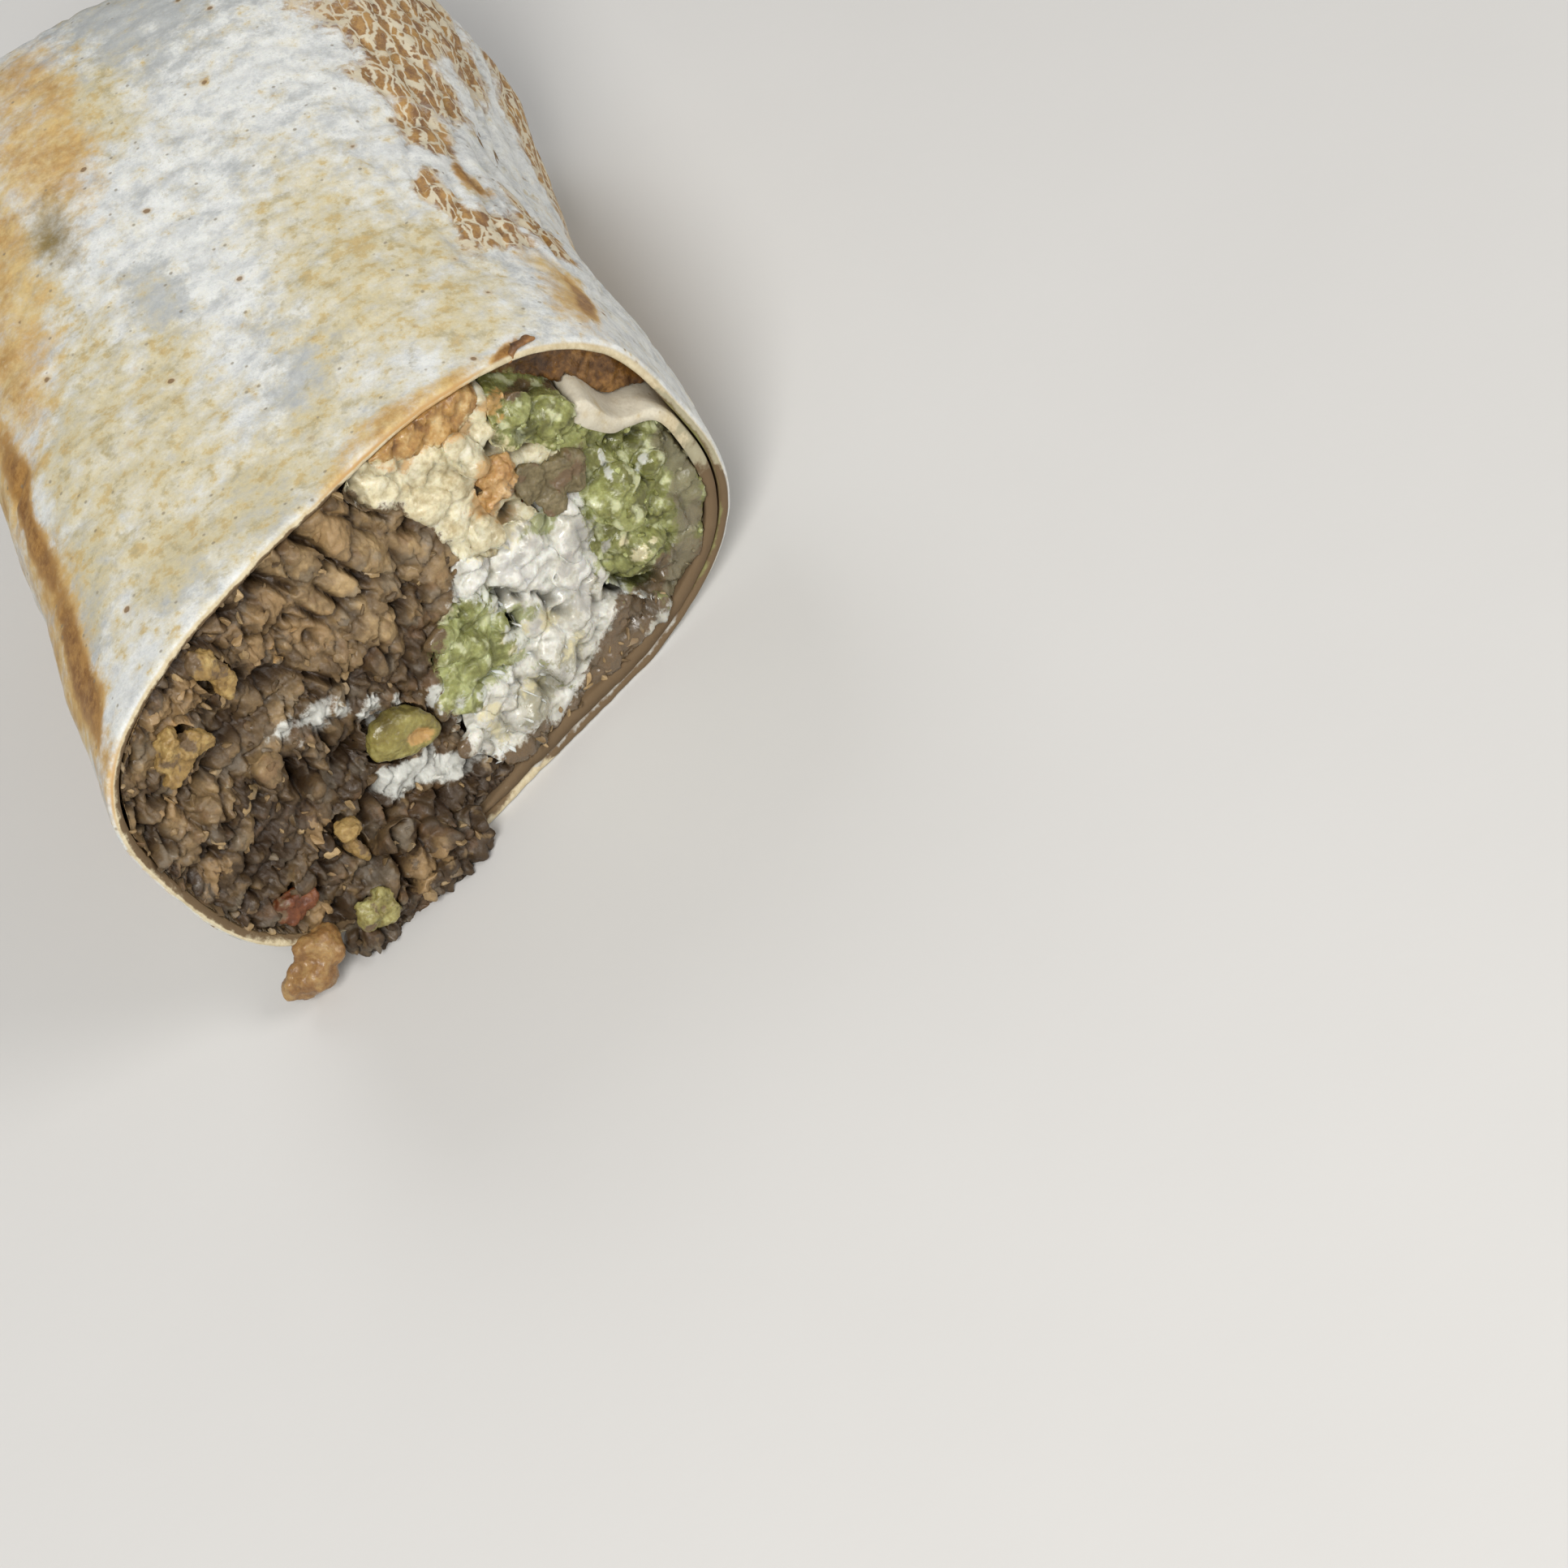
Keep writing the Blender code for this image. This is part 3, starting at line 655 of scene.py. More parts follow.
CRACKS = [
    [(-4.6, 22.6), (-2.5, 16.5), (-0.3, 10.9)], [(2.0, 21.6), (5.1, 15.4)],
    [(-10.1, 21.6), (-8.6, 19.6), (-7.4, 17.1)], [(-9.5, 14.8), (-6.1, 11.0), (-3.2, 10.9), (-0.8, 9.9)],
    [(-12.6, 10.4), (-8.7, 4.1)], [(9.8, -1.8), (11.8, -4.4), (15.2, -7.6), (15.7, -11.4)],
    [(10.2, -5.8), (10.9, -8.0)], [(21.4, -13.5), (24.6, -16.1), (27.9, -19.2)]]
TOASTED = [
    (-12.8, 15.4, 2.4, 1.0), (-9.8, 17.6, 1.5, 1.0), (-16.8, 22.2, 1.6, 0.9), (-23.2, 17.6, 1.8, 1.0),
    (-8.2, 12.0, 1.6, 1.0), (-25.8, 16.8, 2.6, 1.0), (-28.6, 20.4, 2.0, 0.9), (-24.6, -18.4, 2.2, 1.0),
    (-10.8, -21.4, 1.8, 0.9), (6.2, -24.4, 2.0, 0.9), (-0.8, 20.6, 2.2, 0.8), (-30.2, 8.0, 1.8, 0.8),
    (-26.8, 9.8, 2.0, 0.9), (-18.6, -9.2, 1.8, 0.9), (-31.0, -3.0, 1.8, 0.8), (-15.4, 19.0, 1.4, 0.8)]
SOCKETS = ["olive_slice", "corn_kernel_1", "corn_kernel_2", "corn_kernel_3", "pepper_piece_green", "pepper_piece_red",
           "tomato_piece", "onion_piece"]


def stain_marks(points):
    """The share of every kind at each point: the neighbours' own, and the explicit stains."""
    places, seen = seen_places(points), as_seen(points)
    marks = {}
    for kind in ("beef", "green", "white", "yellow", "orange"):
        marks[kind] = np.maximum(sampled(SHARES[kind], places), spots(seen, STAINS[kind]))
    for kind in ("grey", "dull", "mauve"):
        marks[kind] = spots(seen, STAINS[kind])
    return marks


def shared_relief(places, seen):
    """What the whole cut has in common: hollows, cracks, sockets for pieces, a dip along the rim, and painted shade in
    the hollows, the cracks and the dip.
    """
    hollow = spots(seen, HOLLOWS)
    crack = grooves(seen, CRACKS, 0.38) * ramp(field(places, 2.4, 31.0, 2), -1.2, 0.2)
    sockets = []
    for name in SOCKETS:
        middle, (low, high) = box_middle(name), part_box(name)
        sockets.append((middle.x / MM, middle.z / MM, 0.36 * (high.x - low.x + high.z - low.z) / MM, 1.0))
    socket = spots(places, sockets)
    rim = 1.0 - ramp(sampled(SHARES["any"], places), 0.52, 0.86)
    rim *= 1.0 - ramp(-places[:, 1], 15.0, 19.0) * ramp(-places[:, 0], -2.0, 2.0)
    height = -2.1 * hollow - 1.7 * crack - 0.15 * socket + 0.35 * rim * field(places, 3.0, 35.0, 2)
    # The second value is painted shade: darker in the hollows, the cracks and the dip along the rim.
    return height, unit(hollow * 1.1 + crack * 0.95 + rim * 0.25)


# Slabs, chunks and bits: spacing, seed, jitter, tilt, depth and width of cracks, stretch, turn, raggedness.
BEEF_PIECES = ((3.5, 3.0, 0.40, 0.25, 1.4, 0.36, 2.3, 19.0, 0.25), (2.9, 4.0, 0.80, 0.42, 1.8, 0.42, 1.35, -35.0, 0.5),
               (1.35, 5.0, 0.34, 0.34, 0.6, 0.24, 1.5, 25.0, 0.55))


def beef_relief(places):
    """Slabs by the middle, chunks elsewhere and bits on both: height, depth of painted shade, tint, toasting."""
    slab_zone = ramp(places[:, 0], -13.0, -9.0) * ramp(-places[:, 0], -8.5, -5.0) * ramp(places[:, 1], 6.0, 11.0)
    (slabs, slab_cracks, slab_tint, slab_at), (chunks, chunk_cracks, chunk_tint, chunk_at), \
        (bits, bit_cracks, bit_tint, bit_at) = (pieces_relief(places, *form) for form in BEEF_PIECES)
    crumbly = ramp(field(places, 4.5, 6.0, 3), -0.7, 0.9) * (1.0 - 0.75 * slab_zone)
    open_cracks = 0.45 + 0.9 * ramp(field(places, 5.0, 7.0, 2), -0.7, 0.9)
    height = (slabs * slab_zone + chunks * (1.0 - slab_zone)) * open_cracks + bits * (0.25 + crumbly)
    height += 0.9 * field(places, 9.0, 8.0, 2) + 0.17 * field(places, 0.8, 9.0, 3)
    height += 0.22 * field(places * np.array([1.6, 0.7]), 1.5, 10.0, 2, True)
    cracks = (slab_cracks * slab_zone + chunk_cracks * (1.0 - slab_zone)) * open_cracks
    # Painted shade in the cracks between slabs, chunks and bits.
    deep = unit(cracks * 0.75 + bit_cracks * 0.30 * crumbly)
    tint = 0.55 * (slab_tint * slab_zone + chunk_tint * (1.0 - slab_zone)) + 0.3 * bit_tint + 0.12 * slab_zone
    # Darker towards the bottom, and most at the very bottom: painted shade of the low face. Lighter about (0, 7),
    # darker about (-26, 19).
    tint += 0.10 - 0.44 * ramp(-places[:, 1], -9.0, 6.0) - 0.20 * ramp(-places[:, 1], 16.0, 23.0)
    tint += 0.20 * ramp(-np.hypot(places[:, 0] / 4.0, (places[:, 1] - 7.0) / 5.0), -1.3, -0.5)
    tint -= 0.22 * ramp(-np.hypot((places[:, 0] + 26.0) / 7.0, (places[:, 1] - 19.0) / 7.0), -1.4, -0.4)
    toasted = np.where(slab_zone > 0.5, spots(slab_at, TOASTED), spots(chunk_at, TOASTED))
    toasted = np.maximum(ramp(toasted, 0.35, 0.45) * 0.50, ramp(spots(bit_at, TOASTED), 0.25, 0.35) * 0.9)
    return height, deep, tint, toasted


def mash_relief(coarse, medium, fine, seed, size=4.2):
    """A relief for mash: lumps of three sizes with creases between, and painted shade in the creases."""
    def relief(places):
        places = places + 0.5 * np.stack([field(places, size * 0.6, seed + k, 2) for k in (5.0, 6.0)], 1)
        broad = field(places, size, seed, 2, True)
        middle = field(places, size * 0.42, seed + 1.0, 2, True)
        small = field(places, size * 0.15, seed + 2.0, 2)
        height = coarse * broad + medium * middle + fine * small
        # Painted shade in the creases between the lumps.
        deep = unit(0.40 * ramp(-broad, 0.1, 0.8) + 0.35 * ramp(-middle, 0.2, 0.8))
        tint = unit(0.5 + 0.5 * field(places, 3.0, seed + 3.0, 2))
        return height, deep, tint, np.zeros(len(places))
    return relief


def curd_relief(seed, lump_size, turn, rise, tone, mash):
    """A relief for soft crumbs: worn lumps and bits at their own levels, sunk in mash here and there, and painted shade
    in their cracks.
    """
    def relief(places):
        lumps, cracks, tint, _ = pieces_relief(places, lump_size, seed, rise, 0.30, 0.30, 0.40, 1.35, turn, 0.65)
        bits, bit_cracks, bit_tint, _ = pieces_relief(places, lump_size * 0.45, seed + 1.0, 0.35 * rise, 0.24, 0.08,
                                                      0.2, 1.3, turn + 60.0, 0.6)
        firm = ramp(field(places, 4.2, seed + 2.0, 2), -0.8, 0.6)
        height = lumps * (0.25 + 0.75 * firm) + bits * (0.8 - 0.6 * firm)
        height = height + mash * field(places, 5.0, seed + 3.0, 2, True)
        height += 0.06 * field(places, 0.7, seed + 4.0, 2)
        # Painted shade in the cracks between the lumps and the bits.
        deep = unit(cracks * 0.42 * firm + bit_cracks * 0.12)
        return height, deep, 0.1 + tone + 0.45 * tint + 0.35 * bit_tint, np.zeros(len(places))
    return relief


# ---------------------------------------------------------------- camera, floor and light

VIEW_AZIMUTH = math.radians(2.0)
VIEW_ELEVATION = math.radians(46.0)
VIEW_ROLL = math.radians(29.0)
VIEW_DISTANCE = 0.5984
AIM_RIGHT = 0.0413
AIM_UP = -0.0151
VIEW_ANGLE = math.radians(16.71)
SENSOR = 36.0
FLOOR_REACH = 2.5
LIGHT_AIM = Vector((0.0, 0.0, 0.02))
LIGHTS = {"key_light": ((-0.18, -0.74, 0.72), 0.40, 8.0, (1.0, 0.985, 0.96)),
          "side_light": ((0.65, -0.35, 0.50), 0.5, 2.8, (1.0, 0.98, 0.96)),
          "back_light": ((-0.2, 0.65, 0.65), 0.5, 1.6, (0.97, 0.98, 1.0))}
WORLD_STRENGTH = 0.26


def make_camera():
    """Looks down on the cut from the front, rolled, with the half up in the frame's left."""
    level = math.cos(VIEW_ELEVATION)
    forward = Vector((-math.sin(VIEW_AZIMUTH) * level, math.cos(VIEW_AZIMUTH) * level, -math.sin(VIEW_ELEVATION)))
    right = Vector((math.cos(VIEW_AZIMUTH), math.sin(VIEW_AZIMUTH), 0.0))
    up = right.cross(forward)
    turned_right = right * math.cos(VIEW_ROLL) - up * math.sin(VIEW_ROLL)
    turned_up = right * math.sin(VIEW_ROLL) + up * math.cos(VIEW_ROLL)
    data = bpy.data.cameras.new("camera")
    data.sensor_width = SENSOR
    data.lens = 0.5 * SENSOR / math.tan(0.5 * VIEW_ANGLE)
    data.clip_start = 0.01
    camera = add_object("camera", data)
    place = ORIGIN + turned_right * AIM_RIGHT + turned_up * AIM_UP - forward * VIEW_DISTANCE
    turn = Matrix((turned_right, turned_up, -forward)).transposed().to_4x4()
    camera.matrix_world = Matrix.Translation(place) @ turn
    bpy.context.scene.camera = camera


def make_floor():
    """A plain pale floor under the half."""
    finish = Finish("floor_paint")
    colour = finish.mix(finish.cloud(60.0, 4.0), (0.62, 0.61, 0.59), (0.66, 0.65, 0.63))
    material = finish.finish(colour, 0.7, finish.bump(finish.cloud(2.0), 0.05 * MM, 0.3))
    mesh = bpy.data.meshes.new("floor")
    corners = [(x * FLOOR_REACH, y * FLOOR_REACH, 0) for x, y in ((-1, -1), (1, -1), (1, 1), (-1, 1))]
    mesh.from_pydata(corners, [], [(0, 1, 2, 3)])
    mesh.materials.append(material)
    add_object("floor", mesh)


def make_light():
    """Three soft round lamps aimed at the half, each with its place, size, watts and colour, and a white world."""
    for name, (place, size, watts, colour) in LIGHTS.items():
        data = bpy.data.lights.new(name, "AREA")
        data.shape = "DISK"
        data.size = size
        data.energy = watts
        data.color = colour
        light = add_object(name, data)
        light.location = place
        light.rotation_mode = "QUATERNION"
        light.rotation_quaternion = (LIGHT_AIM - Vector(place)).to_track_quat("-Z", "Y")
    world = bpy.data.worlds.new("studio")
    world.use_nodes = True
    background = world.node_tree.nodes["Background"].inputs
    background["Color"].default_value = (1.0, 1.0, 1.0, 1.0)
    background["Strength"].default_value = WORLD_STRENGTH
    bpy.context.scene.world = world
    bpy.context.scene.view_settings.view_transform = "Standard"


# ---------------------------------------------------------------- the tortilla's finish

def tortilla_finish():
    """Floury wheat dough: mottled white, cream blotches, toasted patches, scorched specks, olive-grey spots of painted
    shade, and an inner wall darkened by soaking and by painted shade.
    """
    f = Finish("tortilla_dough")
    toast, tan, cream = f.mark("toast"), f.mark("tan"), f.mark("cream")
    grey, veins, inner = f.mark("grey"), f.mark("veins"), f.mark("inner")

    broad = f.cloud(10.0, 5.0, 0.58, 1.0, warp=0.2)
    mottle = f.cloud(3.0, 8.0, 0.72, 2.0, warp=0.15)
    flour = f.cloud(0.9, 5.0, 0.72, 3.0)
    blotch = f.cloud(5.5, 7.0, 0.66, 4.0, warp=0.25)
    small = f.cloud(1.9, 6.0, 0.64, 14.0)

    colour = f.mix(mottle.step(0.36, 0.64), (0.80, 0.81, 0.775), (0.64, 0.655, 0.645))
    colour = f.mix(flour.step(0.50, 0.70) * 0.6, colour, (0.44, 0.455, 0.45))
    blue = (broad * 0.35 + mottle * 0.65 + grey * 0.26).step(0.48, 0.70)
    colour = f.mix(blue * 0.60, colour, (0.33, 0.345, 0.34))
    yellow = (blotch * 0.45 + small * 0.45 + broad * 0.10 + cream * 0.20).step(0.47, 0.74)
    colour = f.mix(yellow * 0.9, colour, (0.61, 0.53, 0.315))
    ochre = (small * 0.65 + blotch * 0.35 + cream * 0.08).step(0.58, 0.68)
    colour = f.mix(ochre * 0.7, colour, (0.50, 0.365, 0.15))
    # Painted shade: small olive-grey spots of shade on the skin.
    grey_shade_spots = (f.cloud(2.6, 7.0, 0.7, 21.0, warp=0.3) * 0.8 + small * 0.2 + cream * 0.06).step(0.56, 0.70)
    colour = f.mix(grey_shade_spots * 0.6, colour, (0.36, 0.315, 0.19))
    soaked = (tan + (blotch - 0.5) * 1.5 + (small - 0.5) * 1.3).step(0.15, 1.1)
    soaked_tan = f.mix((broad * 0.4 + mottle * 0.6).step(0.4, 0.6), (0.64, 0.47, 0.20), (0.56, 0.35, 0.12))
    colour = f.mix(soaked * 0.92, colour, soaked_tan)
    steeped = (tan + (blotch - 0.5) * 2.2 + (mottle - 0.5) * 1.2).step(0.85, 1.45)
    colour = f.mix(steeped * 0.75, colour, (0.42, 0.235, 0.07))
    olive = (f.mark("olive") + (blotch - 0.5) * 1.2 + (mottle - 0.5) * 1.0).step(0.10, 1.25)
    colour = f.mix(olive, colour, (0.235, 0.17, 0.055))
    fibre = f.cloud(0.34, 3.0, 0.7, 9.0)
    streak = f.cloud(1.3, 5.0, 0.7, 11.0, (1.0, 0.5, 1.0), 0.2).step(0.56, 0.72)
    colour = f.mix(streak * 0.35, colour, (0.40, 0.385, 0.33))
    colour = f.shade(colour, 0.52 + flour * 0.36 + small * 0.26 + fibre * 0.28)

    halo = (toast + (blotch - 0.5) * 1.0 + (small - 0.5) * 0.8).step(0.22, 0.70)
    colour = f.mix(halo * 0.85, colour, (0.55, 0.34, 0.115))
    scorched = (toast + (mottle - 0.5) * 0.9 + (blotch - 0.5) * 0.6 + (flour - 0.5) * 0.5).step(0.46, 0.84)
    browned = f.mix((mottle * 0.6 + flour * 0.4).step(0.38, 0.62), (0.20, 0.088, 0.022), (0.42, 0.228, 0.066))
    colour = f.mix(scorched, colour, browned)

    wrinkle = f.cells(1.9, 5.0, (1.25, 0.42, 1.25), "DISTANCE_TO_EDGE", push=(3.2, 1.5))
    finer = f.cells(0.8, 6.0, (1.1, 0.6, 1.1), "DISTANCE_TO_EDGE", push=(1.6, 1.6))
    present = (veins + (blotch - 0.5) * 1.3 + (mottle - 0.5) * 1.1 + (small - 0.5) * 0.6).step(0.24, 0.66)
    tone = f.cloud(2.2, 5.0, 0.68, 22.0, (1.2, 0.5, 1.2), 0.4)
    brown = f.mix((tone * 0.7 + flour * 0.3).step(0.38, 0.62), (0.45, 0.25, 0.068), (0.20, 0.09, 0.027))
    colour = f.mix(present * 0.94, colour, brown)
    open_line = (wrinkle + (small - 0.5) * 0.26 + (flour - 0.5) * 0.14).step(0.145, 0.04)
    thin_line = (finer + (flour - 0.5) * 0.2).step(0.07, 0.02) * mottle.step(0.48, 0.62) * 0.4
    colour = f.mix((open_line * (0.55 + tone) + thin_line).clipped() * present * 0.86, colour, (0.70, 0.64, 0.48))

    where = f.cells(6.0, 7.0)
    chosen = f.cells(6.0, 7.0, out="Color")
    ring = (where + (flour - 0.5) * 0.08).step(0.15, 0.06) * chosen.step(0.55, 0.6)
    colour = f.mix(ring * 0.5, colour, (0.55, 0.40, 0.20))
    speck = (where + (flour - 0.5) * 0.08).step(0.085, 0.05) * chosen.step(0.55, 0.6)
    colour = f.mix(speck * 0.85, colour, (0.20, 0.115, 0.05))
    dot = f.cells(1.8, 8.0).step(0.17, 0.07) * (f.cells(1.8, 8.0, out="Color") + broad * 0.6).step(0.86, 0.94)
    colour = f.mix(dot * 0.7, colour, (0.24, 0.20, 0.14))

    crumb = f.cloud(0.5, 3.0, 0.6, 6.0)
    rim_colour = f.mix((crumb * 0.4 + small * 0.6).step(0.36, 0.66), (0.66, 0.58, 0.40), (0.50, 0.41, 0.25))
    rim_colour = f.mix(tan.step(0.1, 0.7) * 0.85, rim_colour, (0.50, 0.28, 0.09))
    wander = (small - 0.5) * 1.4 + (inner - 1.0) * 0.9 - 0.2
    rim_colour = stained(f, rim_colour, ("yellow", "grey", "mauve"), wander, share=0.8)
    # The inner wall darkened: soaked with juice, and painted shade of the inside.
    soaked_and_shaded_wall = f.mix(mottle, (0.14, 0.085, 0.04), (0.32, 0.22, 0.11))
    cut_colour = f.mix((inner - 1.0).step(0.1, 0.6), rim_colour, soaked_and_shaded_wall)
    colour = f.mix(inner.step(0.2, 0.7), colour, cut_colour)

    height = flour * 0.5 + mottle * 0.5 + blotch * 0.4 - speck * 0.6 - dot * 0.5 + crumb * 0.08 - scorched * 0.15
    height = height + wrinkle.step(0.0, 0.2) * veins * 0.3
    normal = f.bump(height, 0.18 * MM, 0.45)
    roughness = 0.80 - scorched * 0.12 - soaked * 0.2
    return f.finish(colour, roughness, normal, soft=0.10, gloss=0.3, soft_tint=(1.0, 0.75, 0.5))


# ---------------------------------------------------------------- the tortilla

SEGMENTS = 360
RING_STEP = 0.78 * MM
BLUNT_END = 30.0 * MM
LAP_EDGE_X = -5.0 * MM
SWIRL_START = math.radians(278.0)
SWIRL_PITCH = 0.38
SWIRL_LAYERS = 3
PLEAT_TURN = 6.28
RIM_ROUNDING = ((0.36, 0.10, 1.0), (0.24, 0.03, 0.8), (0.10, 0.0, 0.4))
RIM_RINGS = ((0.30, -0.12, 0.35), (0.55, 0.06, 0.75), (0.85, 0.12, 1.0), (1.15, 0.02, 1.1), (1.40, -0.30, 1.3))
WALL_RINGS = (0.9, 2.0, 3.5, 6.0, 10.0, 18.0, 30.0, 45.0, 60.0)
WALL_END_RINGS = 12
WALL_SOAK = 8.0 * MM
BESIDE_WALL = 2.4
END_DIMPLE = 3.3 * MM
# The patches of each kind on the skin: angle round and place along, then half sizes, in degrees and mm.
DABS = {
    "toast": [(147, 14, 6, 17), (146, 36, 5, 20), (172, 30, 12, 34), (215, 46, 24, 30), (20, 12, 4, 9),
              (38, 0, 4, 4), (18, 36, 3, 8), (26, 46, 3, 6)],
    "tan": [(112, 80, 16, 20), (112, 97, 15, 13), (135, 52, 12, 14), (150, 20, 12, 30), (150, 52, 16, 26),
            (178, 60, 20, 30), (106, 90, 9, 8), (14, 34, 5, 9), (22, 14, 8, 14), (62, 1, 26, 2.2),
            (330, 60, 24, 36), (210, 50, 50, 46), (127, 70, 9, 14), (132, 62, 12, 8), (63, 1.5, 24, 3.4)],
    "cream": [(55, 28, 22, 22), (60, 42, 15, 18), (92, 8, 40, 9), (120, 30, 14, 26), (98, 84, 16, 12),
              (110, 22, 16, 12), (45, 12, 14, 14), (128, 64, 10, 14), (128, 36, 14, 12), (120, 12, 14, 10),
              (126, 24, 20, 22), (300, 60, 40, 50), (106, 30, 16, 16), (84, 6, 20, 6)],
    "grey": [(138, 18, 9, 8), (75, 100, 30, 16), (95, 6, 8, 8), (75, 18, 10, 10), (118, 8, 8, 5), (100, 46, 8, 8)],
    "veins": [(34, 36, 4, 13), (28, 30, 8, 7), (31, 58, 8, 9), (27, 72, 13, 12), (28, 82, 16, 10), (10, 84, 8, 9),
              (16, 36, 8, 12), (24, 92, 24, 12), (346, 84, 14, 16)],
    "olive": [(116, 66, 8, 8)],
}


def ring_places():
    """Places along the roll, evenly far apart over the blunt end too, with more at the rim."""
    rim = [0.0, 0.35 * MM, 0.75 * MM, 1.3 * MM]
    body = np.linspace(2.0 * MM, SHOULDER_WIDTH, int(SHOULDER_WIDTH / RING_STEP))
    share = np.linspace(0.0, 1.0, 4000)
    y = SHOULDER_WIDTH + (LENGTH - SHOULDER_WIDTH) * share
    fall = (1.0 - share ** 3.0) ** (1.0 / 3.0) * BLUNT_END
    along = np.concatenate([[0.0], np.cumsum(np.hypot(np.diff(y), np.diff(fall)))])
    count = int(along[-1] / RING_STEP)
    turn = np.interp(np.linspace(0.0, along[-1], count + 1)[1:-1], along, y)
    return rim + list(body) + list(turn)


def dabbed(angle, y, kind):
    """How strongly a kind of patch shows at a place on the skin, with a wandering edge."""
    degrees = math.degrees(angle) % 360.0
    wander = 5.0 * wobble(math.cos(angle) * 3.0, y / (9.0 * MM), math.sin(angle) * 3.0)
    best = 0.0
    for at, along, half_angle, half_length in DABS[kind]:
        off = (degrees - at + 180.0) % 360.0 - 180.0 + wander
        distance = math.hypot(off / half_angle, (y / MM - along + wander * 0.5) / half_length)
        best = max(best, 1.0 - smooth(distance, 0.1, 1.45))
    return best


def skin_relief(angle, y, point):
    """How far the dough stands above its smooth form: lumps, creases, a notch and the lap's edge below."""
    x, _, z = point
    fade = smooth(y, -0.2 * MM, 4.0 * MM) * 0.7 + 0.3
    height = 0.40 * MM * noise.noise(point / (13.0 * MM)) + 0.17 * MM * noise.noise(point / (5.0 * MM))
    height += 0.05 * MM * noise.noise(point / (1.9 * MM))
    degrees = (math.degrees(angle) + 180.0) % 360.0 - 180.0
    pulled = smooth(degrees, -30.0, 6.0) * smooth(degrees, 58.0, 34.0) * smooth(y, 12.0 * MM, 30.0 * MM)
    for deepest, across, along, sharpness in ((0.75 * pulled, 3.4, 15.0, 3.2),
                                              (0.28 * smooth(y, 6.0 * MM, 20.0 * MM), 11.0, 4.6, 4.0)):
        fold = abs(wobble(x / (across * MM), y / (along * MM), z / (across * MM)))
        height -= deepest * MM * (1.0 - min(fold * sharpness, 1.0)) ** 2
    notch = math.hypot((degrees - 148.0) / 9.0, (y - 39.0 * MM + (degrees - 148.0) * 0.12 * MM) / (1.1 * MM))
    height -= 1.1 * MM * max(0.0, 1.0 - notch)
    height *= fade
    if z < TABLE_Z + 3.0 * MM:
        edge = LAP_EDGE_X + 2.2 * MM * math.sin(y / (19.0 * MM))
        edge = edge + 0.7 * MM * wobble(3.0, y / (7.0 * MM), 1.0)
        behind = edge - x
        height = min(height, 0.0) * 0.3
        height -= 0.95 * MM * smooth(behind, -0.25 * MM, 0.45 * MM) * math.exp(-max(behind, 0.0) / (9.0 * MM))
    return height


def end_relief(point):
    """The layers of the folded-in end, which wind inwards from the lap's edge, with pleats."""
    x, y, z = point
    reach = end_scale(y, 0.5 * (SHOULDER_WIDTH + SHOULDER_HEIGHT), 3.0, LENGTH)
    around = (math.atan2(z - END_Z, x - END_X) - SWIRL_START) % FULL_TURN / FULL_TURN
    across, up = math.cos(around * PLEAT_TURN), math.sin(around * PLEAT_TURN)
    wander = 0.05 * wobble(across * 1.3, up * 1.3, reach * 2.0)
    depth = 0.0
    for layer in range(SWIRL_LAYERS):
        edge = 1.0 - SWIRL_PITCH * (around + layer) + wander
        below = (edge - reach) * BLUNT_END
        depth += 1.0 * MM * smooth(below, -0.3 * MM, 0.8 * MM)
        depth -= 0.25 * MM * math.exp(-((below + 1.2 * MM) / (1.2 * MM)) ** 2)
    pleat = wobble(across * 5.0, up * 5.0, reach * 1.2)
    depth += 0.5 * MM * smooth(reach, 1.0, 0.6) * (1.0 - min(abs(pleat) * 4.0, 1.0))
    return -depth * smooth(reach, 1.0, 0.965)


def rim_waver(angle):
    """The cut's own unevenness round the rim."""
    place = Vector((math.cos(angle), math.sin(angle), 0.0))
    return 0.30 * MM * noise.noise(place * 5.0) + 0.14 * MM * noise.noise(place * 19.0)


def make_skin(places, angles):
    """The roll's outer skin as rings of points, with its relief, and rounded in at the rim."""
    skin = np.array([[skin_point(a, y, 0.0, LENGTH) for a in angles] for y in places])
    around = np.roll(skin, -1, 1) - np.roll(skin, 1, 1)
    outward = np.cross(around, np.gradient(skin, axis=0))
    outward /= np.maximum(np.linalg.norm(outward, axis=2, keepdims=True), TINY)
    if outward[5, 0, 0] < 0.0:
        outward = -outward
    for i, y in enumerate(places):
        for j, a in enumerate(angles):
            point = Vector(skin[i, j])
            height = skin_relief(a, y, point)
            if y > SHOULDER_WIDTH:
                height += end_relief(point)
            skin[i, j] += outward[i, j] * height
    for j, a in enumerate(angles):
        for row, (back, inset, waver) in enumerate(RIM_ROUNDING):
            skin[row, j, 1] += back * MM - waver * rim_waver(a)
            skin[row, j] -= outward[row, j] * inset * MM
    return skin.reshape(-1, 3)


def make_wall(angles):
    """The cut rim and the inner wall as rings of points, with each ring's mark: about 1 on the cut, 2 inside."""
    inner_length = LENGTH - END_FOLD
    rings = [[skin_point(a, 0.0, inset * MM, LENGTH, front * MM + rim_waver(a)) for a in angles]
             for inset, front, _ in RIM_RINGS]
    places = [y * MM for y in WALL_RINGS]
    places += [SHOULDER_WIDTH + (inner_length - SHOULDER_WIDTH) * math.sin(0.5 * math.pi * t / WALL_END_RINGS)
               for t in range(1, WALL_END_RINGS)]
    rings += [[skin_point(a, y, SHEET, inner_length) for a in angles] for y in places]
    return np.array(rings), [mark for _, _, mark in RIM_RINGS] + [2.0] * len(places)


